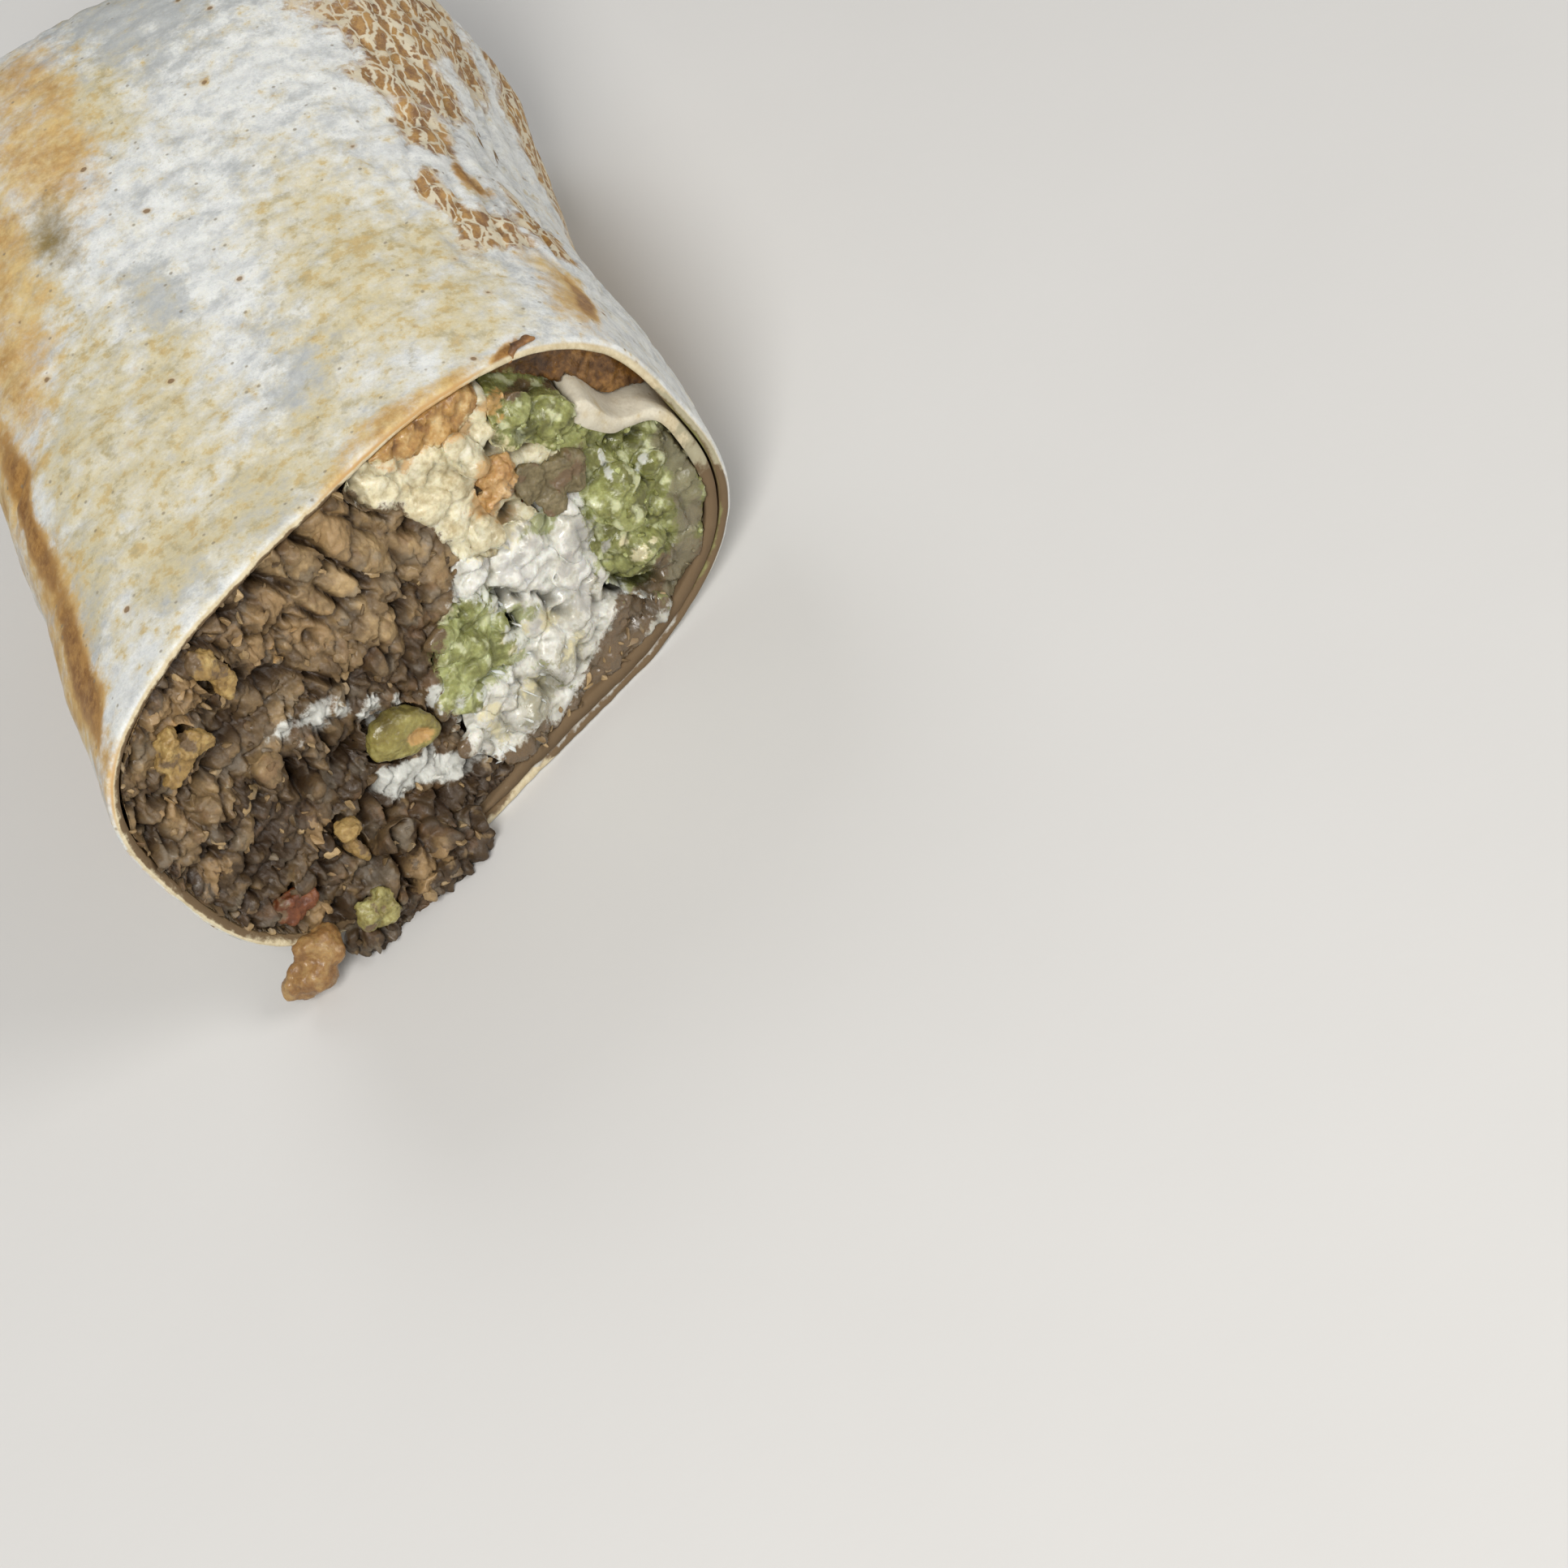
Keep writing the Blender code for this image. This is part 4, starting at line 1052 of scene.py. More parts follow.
def soaked_marks(points, inner):
    """What soaks into the rim and the inner wall from the fillings beside them, and the brown-grey of the right side,
    partly soaked juice and partly painted shade.
    """
    seen = seen_places(points)
    towards = np.array([CENTRE_X / MM, CENTRE_Z / MM]) - seen
    beside = seen + towards / np.linalg.norm(towards, axis=1, keepdims=True) * BESIDE_WALL
    near = inner * (points[:, 1] < cut_y(points[:, 0], points[:, 2]) + WALL_SOAK)
    marks = {kind: sampled(SHARES[kind], beside) * unit((near - 0.3) * 1.6)
             for kind in ("beef", "green", "orange", "white")}
    # The right side's brown-grey: partly soaked juice, partly painted shade of the layers facing down and right.
    right_side = ramp(points[:, 0] / MM, 30.0, 36.0) * ramp(-points[:, 2] / MM, -6.0, 2.0)
    marks["dull"] = right_side * unit(near * 1.6) * 1.25
    low_side = ramp(seen[:, 0], 1.0, 12.0) * ramp(-seen[:, 1], 9.0, 16.0)
    patchy = 1.0 + 0.22 * field(seen, 2.6, 95.0, 3)
    for soiled_and_shaded in (right_side * unit(near - 0.5) * 1.1,
                   low_side * unit(near * 3.0) * patchy * 1.7):
        marks["beef"] = np.maximum(marks["beef"], soiled_and_shaded)
    return marks


def make_tortilla(material):
    """The wrap: skin, cut rim and inner wall as one closed shell."""
    angles = [FULL_TURN * i / SEGMENTS for i in range(SEGMENTS)]
    places = ring_places()
    skin = make_skin(places, angles)
    rings, inner = make_wall(angles)
    poles = [[END_X, LENGTH - END_DIMPLE, END_Z], [END_X, LENGTH - END_FOLD, END_Z]]
    points = np.concatenate([skin, rings.reshape(-1, 3), poles])
    marks = {kind: [dabbed(a, y, kind) for y in places for a in angles] for kind in DABS}
    for values in marks.values():
        values += values[:SEGMENTS] * 2
        values += [0.0] * (len(points) - len(values))
    marks["inner"] = np.array([0.0] * len(skin) + [m for m in inner for _ in angles] + [0.0, 2.0])
    marks.update(soaked_marks(points, marks["inner"]))
    faces = grid_faces(len(places), SEGMENTS)
    first = len(skin)
    faces += [(first + j, first + (j + 1) % SEGMENTS, (j + 1) % SEGMENTS, j) for j in range(SEGMENTS)]
    faces += [tuple(first + k for k in face) for face in grid_faces(len(rings), SEGMENTS, flip=True)]
    pole, inner_pole = len(points) - 2, len(points) - 1
    last_outer = first - SEGMENTS
    last_inner = pole - SEGMENTS
    for j in range(SEGMENTS):
        k = (j + 1) % SEGMENTS
        faces.append((last_outer + j, last_outer + k, pole))
        faces.append((last_inner + k, last_inner + j, inner_pole))
    make_piece("tortilla_wrap", points, faces, material, marks, "tortilla", "tortilla")


FLAP_ROWS = (0.0, 0.3, 0.8, 1.6, 3.0, 5.0, 8.0, 12.0, 18.0, 30.0, 50.0, 75.0, 96.0)
FLAP_SMOOTHING = 6
FLAP_TONGUE = 22.0
FLAP_REACH = (-9.0, -119.0, -4.0)


def flap_outline():
    """The inner layer's outline on the cut: a strip along its path, as angles and insets."""
    depth = SHEET * 1.5 + LAP_GAP
    path = [Vector((x * MM, z * MM)) for x, z in FLAP][::-1]
    path += [Vector(section(math.radians(a), 0.0, depth, LENGTH)) for a in np.arange(*FLAP_REACH)]
    fine = []
    for a, b in zip(path, path[1:]):
        fine += [a.lerp(b, t) for t in (0.0, 0.25, 0.5, 0.75)]
    fine.append(path[-1])
    for _ in range(FLAP_SMOOTHING):
        fine = [fine[0]] + [(a + b * 2.0 + c) * 0.25 for a, b, c in zip(fine, fine[1:], fine[2:])] + [fine[-1]]
    left, right = [], []
    last = len(fine) - 1
    for i, point in enumerate(fine):
        along = fine[min(i + 1, last)] - fine[max(i - 1, 0)]
        share = i / last
        thick = FLAP_SHEET * smooth(share, -0.012, 0.014) * (1.0 - 0.75 * smooth(share, 0.86, 1.0))
        thick *= 1.0 + 0.45 * smooth(share, 0.14, 0.24) + 1.25 * smooth(share, 0.12, 0.02)
        side = Vector((along.y, -along.x)).normalized() * thick * 0.5
        left.append(point + side)
        right.append(point - side)
    return [place_in_section(p.x, p.y) for p in left + right[::-1]]


def make_inner_edge(material):
    """The sheet's lapped inner layer on the right, with its free edge turned into the filling."""
    loop = flap_outline()
    columns = len(loop)
    points = []
    for k, y in enumerate(FLAP_ROWS):
        shrink = 0.12 * MM if k == 0 else 0.0
        for j, (angle, inset) in enumerate(loop):
            opposite = loop[columns - 1 - j]
            eased = inset + (shrink if inset < opposite[1] else -shrink)
            front = rim_waver(angle + 2.0) * 1.2 if k < 3 else 0.0
            tongue = math.exp(-((j if j < columns // 2 else columns - 1 - j) / FLAP_TONGUE) ** 2)
            front += (0.9 * MM + 0.5 * MM * wobble(angle * 9.0, inset / MM, 2.0)) * tongue * (k < 4)
            point = skin_point(angle, y * MM, eased, LENGTH, front)
            points.append(point + Vector((0.0, 0.0, 0.18 * MM * noise.noise(point / (3.0 * MM)))))
    points = np.array(points)
    faces = grid_faces(len(FLAP_ROWS), columns)
    for far, base in ((False, 0), (True, (len(FLAP_ROWS) - 1) * columns)):
        for j in range(columns // 2 - 1):
            face = (base + j, base + j + 1, base + columns - 2 - j, base + columns - 1 - j)
            faces.append(face if far else face[::-1])
    marks = {k: np.zeros(len(points)) for k in ("toast", "tan", "cream", "grey", "veins")}
    where = seen_places(points)
    # The inner layer darkens by the wall and low down: partly soaked juice, partly painted shade of the layer facing
    # down and right.
    wall = ramp(where[:, 0], 33.0, 37.5) * ramp(-where[:, 1], 0.0, 4.0) + ramp(-where[:, 1], 8.0, 13.0)
    soiled_and_shaded = unit(wall)
    clean = 1.0 - unit(wall * 2.0)
    marks["inner"] = np.full(len(points), 0.50) + 0.45 * soiled_and_shaded
    marks["beef"] = soiled_and_shaded * (0.40 + 0.55 * field(where, 4.0, 91.0, 3)) + 1.1 * ramp(-where[:, 1], 7.0, 14.0)
    marks["dull"] = soiled_and_shaded * (1.0 + 0.3 * field(where, 4.0, 92.0, 3))
    marks["green"] = soiled_and_shaded * (0.25 + 0.5 * field(where, 6.0, 93.0, 2)) * ramp(where[:, 1], -16.0, -8.0)
    marks["orange"] = 0.30 * clean
    marks["white"] = 0.35 * clean + 0.35 * soiled_and_shaded * field(where, 3.0, 94.0, 2)
    fix_normals(make_piece("tortilla_inner_edge", points, faces, material, marks, "tortilla"))


def fix_normals(obj):
    """Turns every face outwards."""
    bm = bmesh.new()
    bm.from_mesh(obj.data)
    bmesh.ops.recalc_face_normals(bm, faces=bm.faces)
    bm.to_mesh(obj.data)
    bm.free()


# ---------------------------------------------------------------- fillings

FRONT_DEPTH = 6.0 * MM
BACK_OVERLAP = 1.0 * MM
MERGE_DISTANCE = 0.001 * MM
RELIEF_BACK = 5.0 * MM
RELIEF_FADE = 3.0 * MM
SPREAD_BACK = 3.5 * MM
SPREAD_FADE = 1.5 * MM


def node_part(node, depth, front):
    """The CAD node's part in front of, or behind, a plane this far behind the cut, closed."""
    bm = bmesh.new()
    bm.from_mesh(NODES[node].data)
    bmesh.ops.remove_doubles(bm, verts=bm.verts, dist=MERGE_DISTANCE)
    where = ORIGIN - OUTWARD * depth
    geometry = bm.verts[:] + bm.edges[:] + bm.faces[:]
    made = bmesh.ops.bisect_plane(bm, geom=geometry, plane_co=where, plane_no=OUTWARD, clear_inner=front,
                                  clear_outer=not front)
    edges = [e for e in made["geom_cut"] if isinstance(e, bmesh.types.BMEdge)]
    bmesh.ops.triangle_fill(bm, use_beauty=True, edges=edges)
    bmesh.ops.recalc_face_normals(bm, faces=bm.faces)
    points = np.array([v.co for v in bm.verts]) - np.array(ORIGIN)
    faces = [tuple(v.index for v in f.verts) for f in bm.faces]
    bm.free()
    return points, faces


def fused(heap, voxel, smoothing):
    """The lumps of a heap as one continuous skin, in the roll's frame."""
    points, faces = heap.arrays()
    mesh = bpy.data.meshes.new("fusing")
    mesh.from_pydata(points.tolist(), [], faces)
    obj = add_object("fusing", mesh)
    remesh = obj.modifiers.new("remesh", "REMESH")
    remesh.mode = "VOXEL"
    remesh.voxel_size = voxel
    soften = obj.modifiers.new("soften", "SMOOTH")
    soften.factor = 0.5
    soften.iterations = smoothing
    made = evaluated(obj)
    arrays = mesh_arrays(made)
    bpy.data.objects.remove(obj)
    bpy.data.meshes.remove(mesh)
    bpy.data.meshes.remove(made)
    return arrays


def evaluated(obj):
    """The object's mesh with its modifiers applied, as a new mesh."""
    return bpy.data.meshes.new_from_object(obj.evaluated_get(bpy.context.evaluated_depsgraph_get()))


def roughened(points, faces, steps):
    """Moves the points along their normals, by rough surfaces of several sizes."""
    for size, amount, seed in steps:
        normals = point_normals(points, faces)
        points = points + normals * craggy(points, size * MM, amount * MM, seed)[:, None]
    return points


def make_filling(name, node, slot, material, relief, lumps=(), voxel=0.34, smoothing=2, swells=()):
    """A filling: its node's body with a fine relief on the cut, and lumps fused into it."""
    heap = Heap()
    heap.add(*node_part(node, FRONT_DEPTH, True))
    for points, faces in lumps:
        heap.add(points, faces)
    skin, skin_faces = fused(heap, voxel * MM, smoothing)
    normals, outward = point_normals(skin, skin_faces), np.array(OUTWARD)
    places, seen = seen_places(skin), as_seen(skin)
    height, deep, tint, toasted = relief(places)
    common, common_shade = shared_relief(places, seen)
    smeared = unit(spots(seen, SMEARS)) * ramp(field(places, 2.6, 61.0, 2), -1.6, 0.1)
    height = (height + common) * (1.0 - 0.60 * smeared) + 0.10 * smeared + spots(places, swells)
    deep, common_shade = deep * (1.0 - 0.9 * smeared), common_shade * (1.0 - 0.9 * smeared)
    share = unit(normals @ outward * 2.0)
    share = share * unit((ahead(skin) + RELIEF_BACK) / RELIEF_FADE)
    skin += (0.35 * normals + 0.65 * outward) * (height * MM * share)[:, None]
    aside = normals - np.outer(normals @ outward, OUTWARD)
    room = ramp(sampled(SHARES["any"], places), 0.45, 0.8) * 0.75 + 0.25
    spread = np.clip(0.45 + 0.35 * field(places, 2.4, 71.0, 2), 0.1, 0.9) * room
    skin += aside * (spread * MM * unit((ahead(skin) + SPREAD_BACK) / SPREAD_FADE))[:, None]
    whole = Heap()
    whole.add(skin, skin_faces)
    whole.add(*node_part(node, FRONT_DEPTH - BACK_OVERLAP, False))
    points, faces = whole.arrays()
    marks = stain_marks(points)
    rest = len(points) - len(skin)
    marks["tint"] = np.concatenate([tint, np.full(rest, 0.5)])
    marks["toasted"] = np.concatenate([toasted, np.zeros(rest)])
    # deep: painted shade in hollows, cracks, creases and along the rim, on the cut only.
    marks["deep"] = np.concatenate([unit(deep + common_shade) * share, np.zeros(rest)])
    return make_piece(name, points, faces, material, marks, slot, node)


def lump_at(rng, x, z, size, turn=0.0, lift=0.0, sharpness=6.0, facets=12, rough=0.08):
    """One lump placed on the face and lifted off it, its size across, up and out in mm."""
    _, place = face_at(x * MM, z * MM)
    points, faces = lump(4, rng, sizes(*size), turn, 0.0, facets, sharpness, rough)
    return points + np.array(place + OUTWARD * lift * MM), faces


def lumps_at(rng, rows):
    """Several lumps on the face, one for each row of a table."""
    return [lump_at(rng, *row) for row in rows]


STAIN_COLOURS = {"mauve": (0.43, 0.415, 0.375), "dull": (0.34, 0.315, 0.21), "beef": (0.145, 0.094, 0.048),
                 "green": (0.29, 0.31, 0.115), "orange": (0.56, 0.33, 0.12), "yellow": (0.70, 0.63, 0.40),
                 "white": (0.66, 0.67, 0.62), "grey": (0.205, 0.18, 0.11)}
TOASTED_BROWN = (0.33, 0.212, 0.095)
SHADOW_BROWN = (0.034, 0.017, 0.006)


def stained(f, colour, own, wander, kinds=tuple(STAIN_COLOURS), share=0.85):
    """The colour with its neighbours' colours smeared in where their marks are strong."""
    for kind in kinds:
        if kind not in own:
            amount = (f.mark(kind) + wander).step(0.36, 0.72) * (0.98 if kind == "beef" else share)
            colour = f.mix(amount, colour, STAIN_COLOURS[kind])
    return colour


def beef_finish():
    """Browned ground beef: grey-brown grain with tan and dark places, painted shade in its cracks, and a greasy sheen.
    """
    f = Finish("beef_browned")
    tint, deep = f.mark("tint"), f.mark("deep")
    broad = f.cloud(4.0, 4.0, 0.6, 1.0)
    grain = f.cloud(1.1, 5.0, 0.68, 2.0)
    fine = f.cloud(0.4, 3.0, 0.6, 3.0)
    tone = tint * 0.5 + broad * 0.3 + grain * 0.42 - deep * 0.10
    colour = f.node("ShaderNodeValToRGB", {"stops": [
        (0.34, (0.060, 0.035, 0.014)), (0.50, (0.135, 0.085, 0.037)), (0.68, (0.250, 0.166, 0.076)),
        (0.90, (0.46, 0.320, 0.155))]}, {"Fac": tone}, "Color")
    for size, shift, low, high, share, cast in (
            (3.0, 7.0, 0.55, 0.68, 0.4, (0.22, 0.120, 0.055)), (3.4, 17.0, 0.52, 0.64, 0.55, (0.21, 0.175, 0.125)),
            (2.2, 27.0, 0.60, 0.70, 0.5, (0.33, 0.22, 0.10))):
        colour = f.mix(f.cloud(size, 3.0, 0.5, shift).step(low, high) * share, colour, cast)
    wander = (grain - 0.5) * 1.2 + (broad - 0.5) * 1.4
    colour = f.mix((f.mark("toasted") + wander).step(0.36, 0.72) * 0.88, colour, TOASTED_BROWN)
    colour = stained(f, colour, (), wander, ("green", "orange", "white"), 0.88)
    colour = f.shade(colour, 0.74 + fine * 0.50)
    # Painted shade: the cracks darkened towards a warm shadow brown.
    colour = f.mix((deep * 0.92).clipped(), colour, SHADOW_BROWN)
    normal = f.bump(grain * 0.6 + fine * 0.4, 0.22 * MM, 0.8)
    roughness = (0.58 - grain.step(0.45, 0.7) * 0.26).clipped()
    return f.finish(colour, roughness, normal, soft=0.06, depth=0.6 * MM)


FOOD_GRAIN = 0.6
FOOD_DEPTH = 1.5 * MM
FOOD_SOFT_TINT = (1.0, 0.6, 0.3)


def food_finish(name, tones, size, seed, own=(), rough=(0.45, 0.25), bump=0.2, soft=0.2, flecks=None, gloss=0.5,
                shadow=0.6, tinting=0.12, stains=True):
    """A soft filling: three tones that wander, flecks of another colour, stains, painted shade in its creases and a
    moist sheen.
    """
    f = Finish(name)
    deep = f.mark("deep")
    broad = f.cloud(size, 5.0, 0.62, seed, warp=0.3)
    fine = f.cloud(FOOD_GRAIN, 4.0, 0.6, seed + 3.0)
    tone = broad * 0.68 + fine * 0.32 - deep * 0.14 + (f.mark("tint") - 0.5) * tinting
    stops = list(zip((0.34, 0.50, 0.65), tones))
    colour = f.node("ShaderNodeValToRGB", {"stops": stops}, {"Fac": tone}, "Color")
    if flecks:
        fleck_colour, fleck_size, low_edge, high_edge, share = flecks
        fleck = f.cloud(fleck_size, 3.0, 0.5, seed + 8.0).step(low_edge, high_edge)
        colour = f.mix(fleck * share, colour, fleck_colour)
    if stains:
        colour = stained(f, colour, own, (broad - 0.5) * 1.6 + (fine - 0.5) * 0.9)
    colour = f.shade(colour, 0.84 + fine * 0.32)
    # Painted shade: the creases darkened towards the darkest tone.
    colour = f.mix((deep * shadow).clipped(), colour, tuple(0.16 * part for part in tones[0]))
    normal = f.bump(fine * 0.6 + broad * 0.4, bump * MM, 0.7)
    roughness = (rough[0] - fine.step(0.4, 0.65) * rough[1]).clipped()
    return f.finish(colour, roughness, normal, soft=soft, depth=FOOD_DEPTH, gloss=gloss, soft_tint=FOOD_SOFT_TINT)


# ---------------------------------------------------------------- loose crumbs, by Geometry Nodes

MOST_CRUMBS = 2.0e6
CHIP_REACH = 1.05


def scatter_tree():
    """Scatters kinds of crumb over a surface where its mark 'loose' allows, and realizes them."""
    tree = bpy.data.node_groups.new("scatter_crumbs", "GeometryNodeTree")
    face = tree.interface
    face.new_socket("Surface", in_out="INPUT", socket_type="NodeSocketGeometry")
    for name, kind in (("Spacing", "NodeSocketFloat"), ("Seed", "NodeSocketInt"), ("Smallest", "NodeSocketFloat"),
                       ("Largest", "NodeSocketFloat"), ("Tumble", "NodeSocketFloat"),
                       ("Crumbs", "NodeSocketCollection"), ("Finish", "NodeSocketMaterial")):
        face.new_socket(name, in_out="INPUT", socket_type=kind)
    face.new_socket("Scattered", in_out="OUTPUT", socket_type="NodeSocketGeometry")
    given = tree.nodes.new("NodeGroupInput")
    put = {s.name: Value(s) for s in given.outputs if s.name}

    def node(kind, settings=None, sockets=None, out=0):
        return add_node(tree, kind, settings, sockets, out)

    loose = node("GeometryNodeInputNamedAttribute", {"data_type": "FLOAT"}, {"Name": "loose"}, "Attribute")
    spread = tree.nodes.new("GeometryNodeDistributePointsOnFaces")
    spread.distribute_method = "POISSON"
    for key, value in (("Mesh", put["Surface"]), ("Distance Min", put["Spacing"]), ("Density Factor", loose),
                       ("Seed", put["Seed"])):
        tree.links.new(value.socket, spread.inputs[key])
    spread.inputs["Density Max"].default_value = MOST_CRUMBS
    kinds = node("GeometryNodeCollectionInfo", {}, {"Collection": put["Crumbs"], "Separate Children": True,
                                                   "Reset Children": True})
    turn = node("FunctionNodeRandomValue", {"data_type": "FLOAT_VECTOR"}, {1: (6.283,) * 3, "Seed": 3})
    turn = node("ShaderNodeVectorMath", {"operation": "SCALE"}, {0: turn, "Scale": put["Tumble"]}, "Vector")
    size = node("FunctionNodeRandomValue", {"data_type": "FLOAT"}, {2: put["Smallest"], 3: put["Largest"],
                                                                   "Seed": 5}, 1)
    facing = Value(spread.outputs["Rotation"])
    turned = node("FunctionNodeRotateRotation", {"rotation_space": "LOCAL"}, {0: facing, 1: turn})
    crumbs = node("GeometryNodeInstanceOnPoints", {}, {"Points": Value(spread.outputs["Points"]), "Instance": kinds,
                                                      "Pick Instance": True, "Rotation": turned, "Scale": size})
    tint = node("FunctionNodeRandomValue", {"data_type": "FLOAT"}, {"Seed": 7}, 1)
    crumbs = node("GeometryNodeStoreNamedAttribute", {"data_type": "FLOAT", "domain": "INSTANCE"},
                  {"Geometry": crumbs, "Name": "tint", "Value": tint})
    real = node("GeometryNodeRealizeInstances", {}, {"Geometry": crumbs})
    done = node("GeometryNodeSetMaterial", {}, {"Geometry": real, "Material": put["Finish"]})
    out = tree.nodes.new("NodeGroupOutput")
    tree.links.new(done.socket, out.inputs[0])
    return tree


def chip_kinds(name, rng, count, size, corners=11, worn=0.16):
    """A collection of a few angular chips with worn edges, sized across, up and out in mm."""
    kinds = bpy.data.collections.new(name)
    for k in range(count):
        bm = bmesh.new()
        for _ in range(corners):
            corner = Vector([rng.gauss(0, 1) for _ in range(3)]).normalized() * rng.uniform(0.85, 1.1)
            bm.verts.new([corner[axis] * size[axis] * MM for axis in range(3)])
        bmesh.ops.convex_hull(bm, input=bm.verts)
        bmesh.ops.delete(bm, geom=[v for v in bm.verts if not v.link_faces], context="VERTS")
        bmesh.ops.bevel(bm, geom=bm.edges[:], offset=worn * min(size) * MM, segments=1, affect="EDGES")
        for vertex in bm.verts:
            reach = Vector([vertex.co[axis] / size[axis] for axis in range(3)]).length
            vertex.co *= min(1.0, CHIP_REACH * MM / max(reach, 0.01 * MM))
        mesh = bpy.data.meshes.new(f"{name}_{k}")
        bm.to_mesh(mesh)
        bm.free()
        kinds.objects.link(bpy.data.objects.new(f"{name}_{k}", mesh))
    return kinds


def scatter(name, surface, loose, kinds, material, slot, spacing, smallest, largest, seed, tumble=1.0, clean=()):
    """Crumbs of some kinds over a piece's surface, as one mesh of their own, free of its clean marks."""
    mesh = surface.data.copy()
    for key in ("tint", "deep") + clean:
        mesh.attributes.remove(mesh.attributes[key])
    add_mark(mesh, "loose", loose)
    obj = add_object(name, mesh)
    modifier = obj.modifiers.new("scatter", "NODES")
    modifier.node_group = SCATTER
    values = {"Spacing": spacing * MM, "Seed": seed, "Smallest": smallest, "Largest": largest, "Tumble": tumble,
              "Crumbs": kinds, "Finish": material}
    for item in SCATTER.interface.items_tree:
        if item.in_out == "INPUT" and item.name in values:
            modifier[item.identifier] = values[item.name]
    made = evaluated(obj)
    obj.modifiers.clear()
    for vertex in made.vertices:
        vertex.co.z = max(vertex.co.z, FLOOR_GAP)
    obj.data = made
    made.name = name
    if not made.materials:
        made.materials.append(material)
    bpy.data.meshes.remove(mesh)
    return place_piece(obj, slot)


def front_share(piece, seed):
    """Where a piece may carry crumbs, on the cut and in drifts, and its points."""
    points = mesh_arrays(piece.data)[0] - np.array(ORIGIN)
    drifts = ramp(field(seen_places(points), 3.0, seed, 2), -0.7, 0.6)
    return (ahead(points) > -2.5 * MM) * (points[:, 2] > TABLE_Z + 1.2 * MM) * drifts, points


# ---------------------------------------------------------------- single pieces

def blank_marks(points, **own):
    """The face's marks for a piece of its own: none of them, but for those given."""
    names = ("tint", "deep", "beef", "orange", "dull", "mauve")
    return {k: own.get(k, np.full(len(points), 0.5 if k == "tint" else 0.0)) for k in names}


def make_cluster(name, node, slot, material, parts, seed, lift=0.1, soaked=0.3, thick=1.4, facets=8, sharpness=10.0):
    """A cooked piece lying in the face at its node's place: a few worn chips grown together."""
    rng = random.Random(seed)
    middle = face_middle(node)
    heap = Heap()
    for x, z, across, up, turn in parts:
        points, faces = lump(4, rng, sizes(across, up, thick), turn, rng.uniform(-18, 18), facets, sharpness, 0.14)
        heap.add(points + np.array(middle + (ACROSS * x + UPWARD * z + OUTWARD * lift) * MM), faces)
    points, faces = fused(heap, 0.20 * MM, 2)
    points = roughened(points, faces, [(2.0, 0.32, seed), (0.9, 0.24, seed + 1.0), (0.4, 0.09, seed + 2.0)])
    places = seen_places(points)
    marks = blank_marks(points, beef=unit(soaked + 0.55 * field(places, 2.2, seed, 2)),
                        tint=0.5 + 0.4 * field(places, 1.6, seed + 3.0, 2))
    return make_piece(name, points, faces, material, marks, slot, node)


def make_olive(material):
    """A cut olive: a plump dome with its stuffing a wedge on one side, and a dark rim of skin."""
    middle = face_middle("olive_slice") + OUTWARD * 0.5 * MM
    directions, faces = ball(6)
    across, up, out = directions[:, 0], directions[:, 1], directions[:, 2]
    bend = 0.22 * (1.0 - across ** 2)
    pit = np.exp(-((across - 0.34) / 0.42) ** 2 - ((up + 0.12) / 0.34) ** 2) * (out > 0.0)
    taper = 1.0 - 0.25 * across
    dome = np.sign(out) * np.abs(out) ** 0.7 - 0.62 * pit
    local = np.stack([across * 4.9, (up * taper + bend) * 3.0, dome * 1.9], 1) * MM
    for size, amount, seed in ((2.4, 0.34, 3.0), (0.9, 0.11, 4.0)):
        local += directions * craggy(local, size * MM, amount * MM, seed)[:, None]
    points = local @ np.array([*turned(-33.0), OUTWARD]) + np.array(middle)
    rim = unit((np.hypot(across - 0.1, up) - 0.72) / 0.25) * ramp(up + 0.6 * across, -0.4, 0.3)
    marks = blank_marks(points, orange=pit * 1.5, deep=unit(rim * 0.7 + pit * 0.25))
    make_piece("olive_cut", points, faces, material, marks, "olive", "olive_slice")


def make_drip(material):
    """The drop of sauce and fat under the rim: a short neck over one plump bead."""
    rng = random.Random(51)
    low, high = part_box("sauce_drip")
    middle, half = box_middle("sauce_drip"), (high - low) * 0.5
    heap = Heap()
    for dx, dy, dz, across, up in ((1.1, 1.0, 1.0, 1.15, 0.60), (0.75, 0.5, 0.60, 1.15, 0.75),
                                   (0.05, 0.0, 0.0, 1.45, 0.95), (-0.35, 0.0, -0.12, 1.2, 0.80)):
        points, faces = lump(4, rng, [across * half.x, up * half.z, 1.05 * half.y], 0.0, 0.0, 16, 5.0, 0.06)
        heap.add(points + np.array(middle + Vector((dx * half.x, dy * half.y, dz * half.z)) * 0.7), faces)
    points, faces = fused(heap, 0.25 * MM, 12)
    points = roughened(points, faces, [(2.6, 0.45, 3.0), (0.9, 0.14, 4.0)])
    make_piece("sauce_drop", points, faces, material, blank_marks(points), "drip", "sauce_drip")


